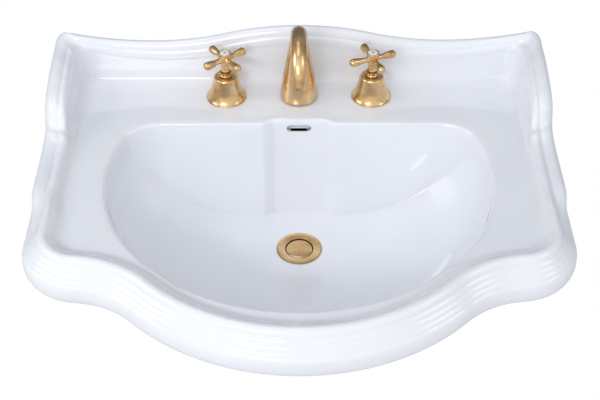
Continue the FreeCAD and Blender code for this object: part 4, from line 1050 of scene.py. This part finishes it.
    def build(self) -> list[bpy.types.Object]:
        """Makes the tap's visible pieces and puts them on their bodies."""
        body = self.name + "_handle"
        bell, neck = self.bell(), self.neck()
        for piece, node in ((bell, "bell_escutcheon"), (neck, "gland_collar")):
            BRASS.dress(piece)
            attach(piece, ROOT_BODY)
            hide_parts(f"{self.name}_{node}")
        arms = [self.arm(self.arm_angle + 90 * i) for i in range(4)]
        handle = join(self.name + "_cross_head", [self.hub()] + arms)
        cap, disc, dot = self.cap(), self.disc(), self.mark()
        BRASS.dress(handle)
        BRASS.dress(cap)
        ENAMEL.dress(disc)
        self.ink.dress(dot)
        for piece in (handle, cap, disc, dot):
            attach(piece, body)
        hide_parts(f"{self.name}_cross_handle")
        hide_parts(f"{self.name}_index_cap")
        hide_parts(f"{self.name}_index_disc")
        return [bell, neck, handle, cap, disc, dot]


@dataclass
class Spout:
    """Fixed arched spout with a flared foot. Lengths in millimetres."""

    from_wall: float = 60.0
    deck: float = 60.0
    gasket: float = 2.0
    rise: float = 80.0
    arch_radius: float = 44.0
    sweep: float = 165.0
    drop: float = 14.0
    foot_radius: float = 26.2

    def foot_profile(self) -> list[Point]:
        """Radius and height up the conical part of the spout."""
        r = self.foot_radius
        line = arc_points((r - 1.0, self.gasket + 1.0), 1.0, -80, 0, 6)
        line += [(r, self.gasket + 2.5), (r - 0.1, self.gasket + 4.0)]
        line += bezier((r - 0.3, 8.0), (24.6, 20.0), (20.6, 44.0), (16.9, 66.0), 24)
        line += bezier((16.6, 68.0), (15.8, 72.0), (15.0, 76.0), (14.2, self.rise), 6)
        return line

    def build(self) -> list[bpy.types.Object]:
        """Makes the spout and puts it on the basin."""
        segments = 96
        upright = np.array([0.0, 0.0, 1.0])
        axis = np.array([0.0, -self.from_wall, self.deck])
        low = self.gasket
        bottom = [(0.01, low + 16.0), (14.6, low + 16.0), (14.6, low), (self.foot_radius - 1.2, low)]
        sections = [(radius, axis + upright * height, upright)
                    for radius, height in bottom + self.foot_profile()]
        centre = axis + np.array([0.0, -self.arch_radius, self.rise])
        for share in np.linspace(0.0, 1.0, 60)[1:]:
            angle = math.radians(self.sweep * share)
            at = centre + self.arch_radius * np.array([0.0, math.cos(angle), math.sin(angle)])
            along = np.array([0.0, -math.sin(angle), math.cos(angle)])
            radius = float(np.interp(share, [0.0, 0.06, 0.14, 0.3, 0.5, 0.75, 1.0],
                                     [14.1, 13.1, 12.1, 11.1, 10.8, 11.0, 11.3]))
            sections.append((radius, at, along))
        tip = sections[-1][1] + sections[-1][2] * self.drop
        for radius, back in ((11.4, 6.0), (11.5, 1.2), (11.2, 0.3), (10.7, 0.0), (9.9, 0.0),
                             (9.7, 0.3), (9.7, 6.2), (0.01, 6.2)):
            sections.append((radius, tip - sections[-1][2] * back, sections[-1][2]))
        angles = np.linspace(0.0, 2 * math.pi, segments, endpoint=False)
        across = np.array([1.0, 0.0, 0.0])
        points = []
        for radius, at, along in sections:
            other = np.cross(along, across)
            points.append(at + radius * (np.cos(angles)[:, None] * across
                                         + np.sin(angles)[:, None] * other))
        faces = grid_faces(len(points), segments, False, True)
        obj = make_object("spout", np.concatenate(points), faces)
        tidy_mesh(obj)
        BRASS.dress(obj)
        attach(obj, ROOT_BODY)
        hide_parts("spout_body")
        return [obj]


@dataclass
class Waste:
    """Domed plug of the push-button waste, which sits in a dished flange. Lengths in millimetres."""

    from_wall: float = 220.0
    floor: float = -84.0
    flange_radius: float = 30.3
    plug_radius: float = 18.0
    seat_radius: float = 19.6

    def plug(self) -> bpy.types.Object:
        """Domed button with a rolled edge."""
        line = [(0.0, -2.9), (self.plug_radius - 0.6, -2.9), (self.plug_radius, -2.4),
                (self.plug_radius, -1.2)]
        line += bezier((self.plug_radius, -0.9), (self.plug_radius - 0.2, -0.5),
                       (self.plug_radius - 0.8, -0.3), (self.plug_radius - 1.4, -0.2), 8)
        line += bezier((16.4, -0.1), (11.0, 0.6), (5.0, 0.95), (0.0, 0.97), 14)
        return lathe("waste_button", line, (0, -self.from_wall, self.floor), 128)

    def build(self) -> list[bpy.types.Object]:
        """Makes the plug and puts it on its body."""
        plug = self.plug()
        BRASS.dress(plug)
        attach(plug, "plug")
        return [plug]


# --- Fittings the camera sees little of ----------------------------------------------------------
def finish_of(node: str) -> Finish:
    """Finish of a piece that keeps the frame's own shape.

    Args:
        node: Name of the piece.

    Returns:
        The finish it was made with.
    """
    rules: tuple[tuple[tuple[str, ...], Finish], ...] = (
        (("plug_seal", "flange_seal", "rubber_washer", "seat_seal", "gasket"), RUBBER),
        (("fixed_disc", "turning_disc"), ALUMINA),
        (("friction_washer", "waste_guide"), ACETAL),
        (("spring", "screw"), STEEL),
        (("cross_tube",), COPPER),
        (("waste_flange", "waste_plug", "spout_aerator", "index_cap"), BRASS),
        (("valve_body", "cartridge", "spindle", "clamp_washer", "backnut", "tube_nuts", "shank",
          "tee", "stem"), TURNED_BRASS),
    )
    for words, finish in rules:
        if any(word in node for word in words):
            return finish
    return TURNED_BRASS


def soften(obj: bpy.types.Object, angle: float = 32.0) -> None:
    """Shades the frame's piece smoothly except across sharp edges."""
    modifier = obj.modifiers.new("edges", "EDGE_SPLIT")
    modifier.split_angle = math.radians(angle)
    modifier.use_edge_sharp = False


# --- Studio --------------------------------------------------------------------------------------
@dataclass
class Studio:
    """Camera, lamps, floor and surroundings. Metres."""

    camera_at: tuple[float, float, float] = (-0.00425, -1.4464, 1.0760)
    pitch: float = 48.88
    yaw: float = -0.243
    lens: float = 72.95
    floor_at: float = -0.80
    fill: float = 0.94
    rear_wall: str = "#80858F"
    front_wall: str = "#FFFFFF"

    def camera(self) -> None:
        """Adds the camera."""
        data = bpy.data.cameras.new("camera")
        data.lens = self.lens
        data.sensor_width = 36.0
        data.clip_end = 50.0
        obj = bpy.data.objects.new("camera", data)
        bpy.context.scene.collection.objects.link(obj)
        obj.location = self.camera_at
        obj.rotation_euler = (math.radians(self.pitch), 0.0, math.radians(self.yaw))
        bpy.context.scene.camera = obj

    def lamp(self, name: str, at: tuple[float, float, float], toward: tuple[float, float, float],
             size: tuple[float, float], power: float, colour: str = "#FFFFFF") -> None:
        """Adds one soft rectangular lamp.

        Args:
            name: Name of the lamp.
            at: Where it stands.
            toward: The point it faces.
            size: Width and height.
            power: Power in watts.
            colour: Its colour.
        """
        data = bpy.data.lights.new(name, "AREA")
        data.shape = "RECTANGLE"
        data.size, data.size_y = size
        data.energy = power
        data.color = linear_rgb(colour)[:3]
        obj = bpy.data.objects.new(name, data)
        bpy.context.scene.collection.objects.link(obj)
        obj.location = at
        facing = Vector(toward) - Vector(at)
        obj.rotation_euler = facing.to_track_quat("-Z", "Y").to_euler()

    def floor(self) -> None:
        """Adds the pale floor."""
        size = 8.0
        points = np.array([(-size, -size, 0), (size, -size, 0), (size, size, 0),
                           (-size, size, 0)]) / MM
        points[:, 2] = self.floor_at / MM
        obj = make_object("floor", points, [(0, 1, 2, 3)], False)
        material = bpy.data.materials.new("painted_floor")
        material.use_nodes = True
        tree = material.node_tree
        tree.nodes.clear()
        paint = add_node(tree, "ShaderNodeBsdfDiffuse", Color=linear_rgb("#F2F2F2"))
        white = add_node(tree, "ShaderNodeEmission", Color=(1, 1, 1, 1), Strength=1.0)
        ray = add_node(tree, "ShaderNodeLightPath")
        mixed = add_node(tree, "ShaderNodeMixShader", i0=ray.outputs["Is Camera Ray"],
                         i1=paint.outputs[0], i2=white.outputs[0])
        output = tree.nodes.new("ShaderNodeOutputMaterial")
        tree.links.new(mixed.outputs[0], output.inputs["Surface"])
        obj.data.materials.append(material)

    def surroundings(self) -> None:
        """White for the camera, a soft grey-white room for light and reflections."""
        world = bpy.data.worlds.new("studio")
        bpy.context.scene.world = world
        world.use_nodes = True
        tree = world.node_tree
        tree.nodes.clear()
        place = add_node(tree, "ShaderNodeTexCoord")
        split = add_node(tree, "ShaderNodeSeparateXYZ", Vector=place.outputs["Generated"])
        front = add_node(tree, "ShaderNodeMapRange", Value=split.outputs["Y"])
        front.inputs["From Min"].default_value = 1.0
        front.inputs["From Max"].default_value = -1.0
        ramp = add_node(tree, "ShaderNodeValToRGB", Fac=front.outputs["Result"])
        ramp.color_ramp.elements[0].position = 0.1
        ramp.color_ramp.elements[0].color = linear_rgb(self.rear_wall)
        ramp.color_ramp.elements[1].position = 0.95
        ramp.color_ramp.elements[1].color = linear_rgb(self.front_wall)
        room = add_node(tree, "ShaderNodeBackground", Color=ramp.outputs["Color"],
                        Strength=self.fill)
        white = add_node(tree, "ShaderNodeBackground", Color=(1, 1, 1, 1), Strength=1.0)
        ray = add_node(tree, "ShaderNodeLightPath")
        mixed = add_node(tree, "ShaderNodeMixShader", i0=ray.outputs["Is Camera Ray"],
                         i1=room.outputs[0], i2=white.outputs[0])
        output = tree.nodes.new("ShaderNodeOutputWorld")
        tree.links.new(mixed.outputs[0], output.inputs["Surface"])

    def build(self) -> None:
        """Sets up the whole studio."""
        bpy.context.scene.view_settings.view_transform = "Standard"
        self.camera()
        self.floor()
        self.surroundings()
        self.lamp("key", (-0.75, -2.3, 1.3), (0.0, -0.25, 0.0), (0.9, 0.3), 15.0)
        self.lamp("left", (-1.9, -0.6, 1.2), (0.0, -0.25, 0.0), (0.9, 0.9), 8.0)
        self.lamp("right", (1.7, -0.9, 1.3), (0.0, -0.25, 0.0), (0.6, 0.8), 3.0)
        self.lamp("top", (-0.3, -0.2, 2.3), (0.0, -0.2, 0.0), (1.6, 1.2), 5.0)


def main() -> None:
    """Builds every piece, dresses it and sets up the studio."""
    made: list[bpy.types.Object] = [Basin().build()]
    log.info("basin: %d faces", len(made[0].data.polygons))
    for tap in (CrossTap("hot", -1, 37.5, INK_RED), CrossTap("cold", 1, 21.0, INK_BLUE)):
        pieces = tap.build()
        made += pieces
        log.info("%s tap: %d pieces", tap.name, len(pieces))
    made += Spout().build()
    log.info("spout: 1 piece")
    plug = Waste().build()
    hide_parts("waste_plug")
    made += plug
    log.info("waste: %d piece", len(plug))
    covered = {"basin", "spout_body", "waste_plug"}
    for side in ("hot", "cold"):
        covered |= {f"{side}_{n}" for n in ("bell_escutcheon", "gland_collar", "cross_handle",
                                            "index_cap", "index_disc")}
    for name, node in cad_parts.items():
        if name in covered:
            continue
        finish_of(name).dress(node)
        soften(node)
        log.info("%s: %s", name, finish_of(name).name)
    Studio().build()


if __name__ == "__main__":
    main()
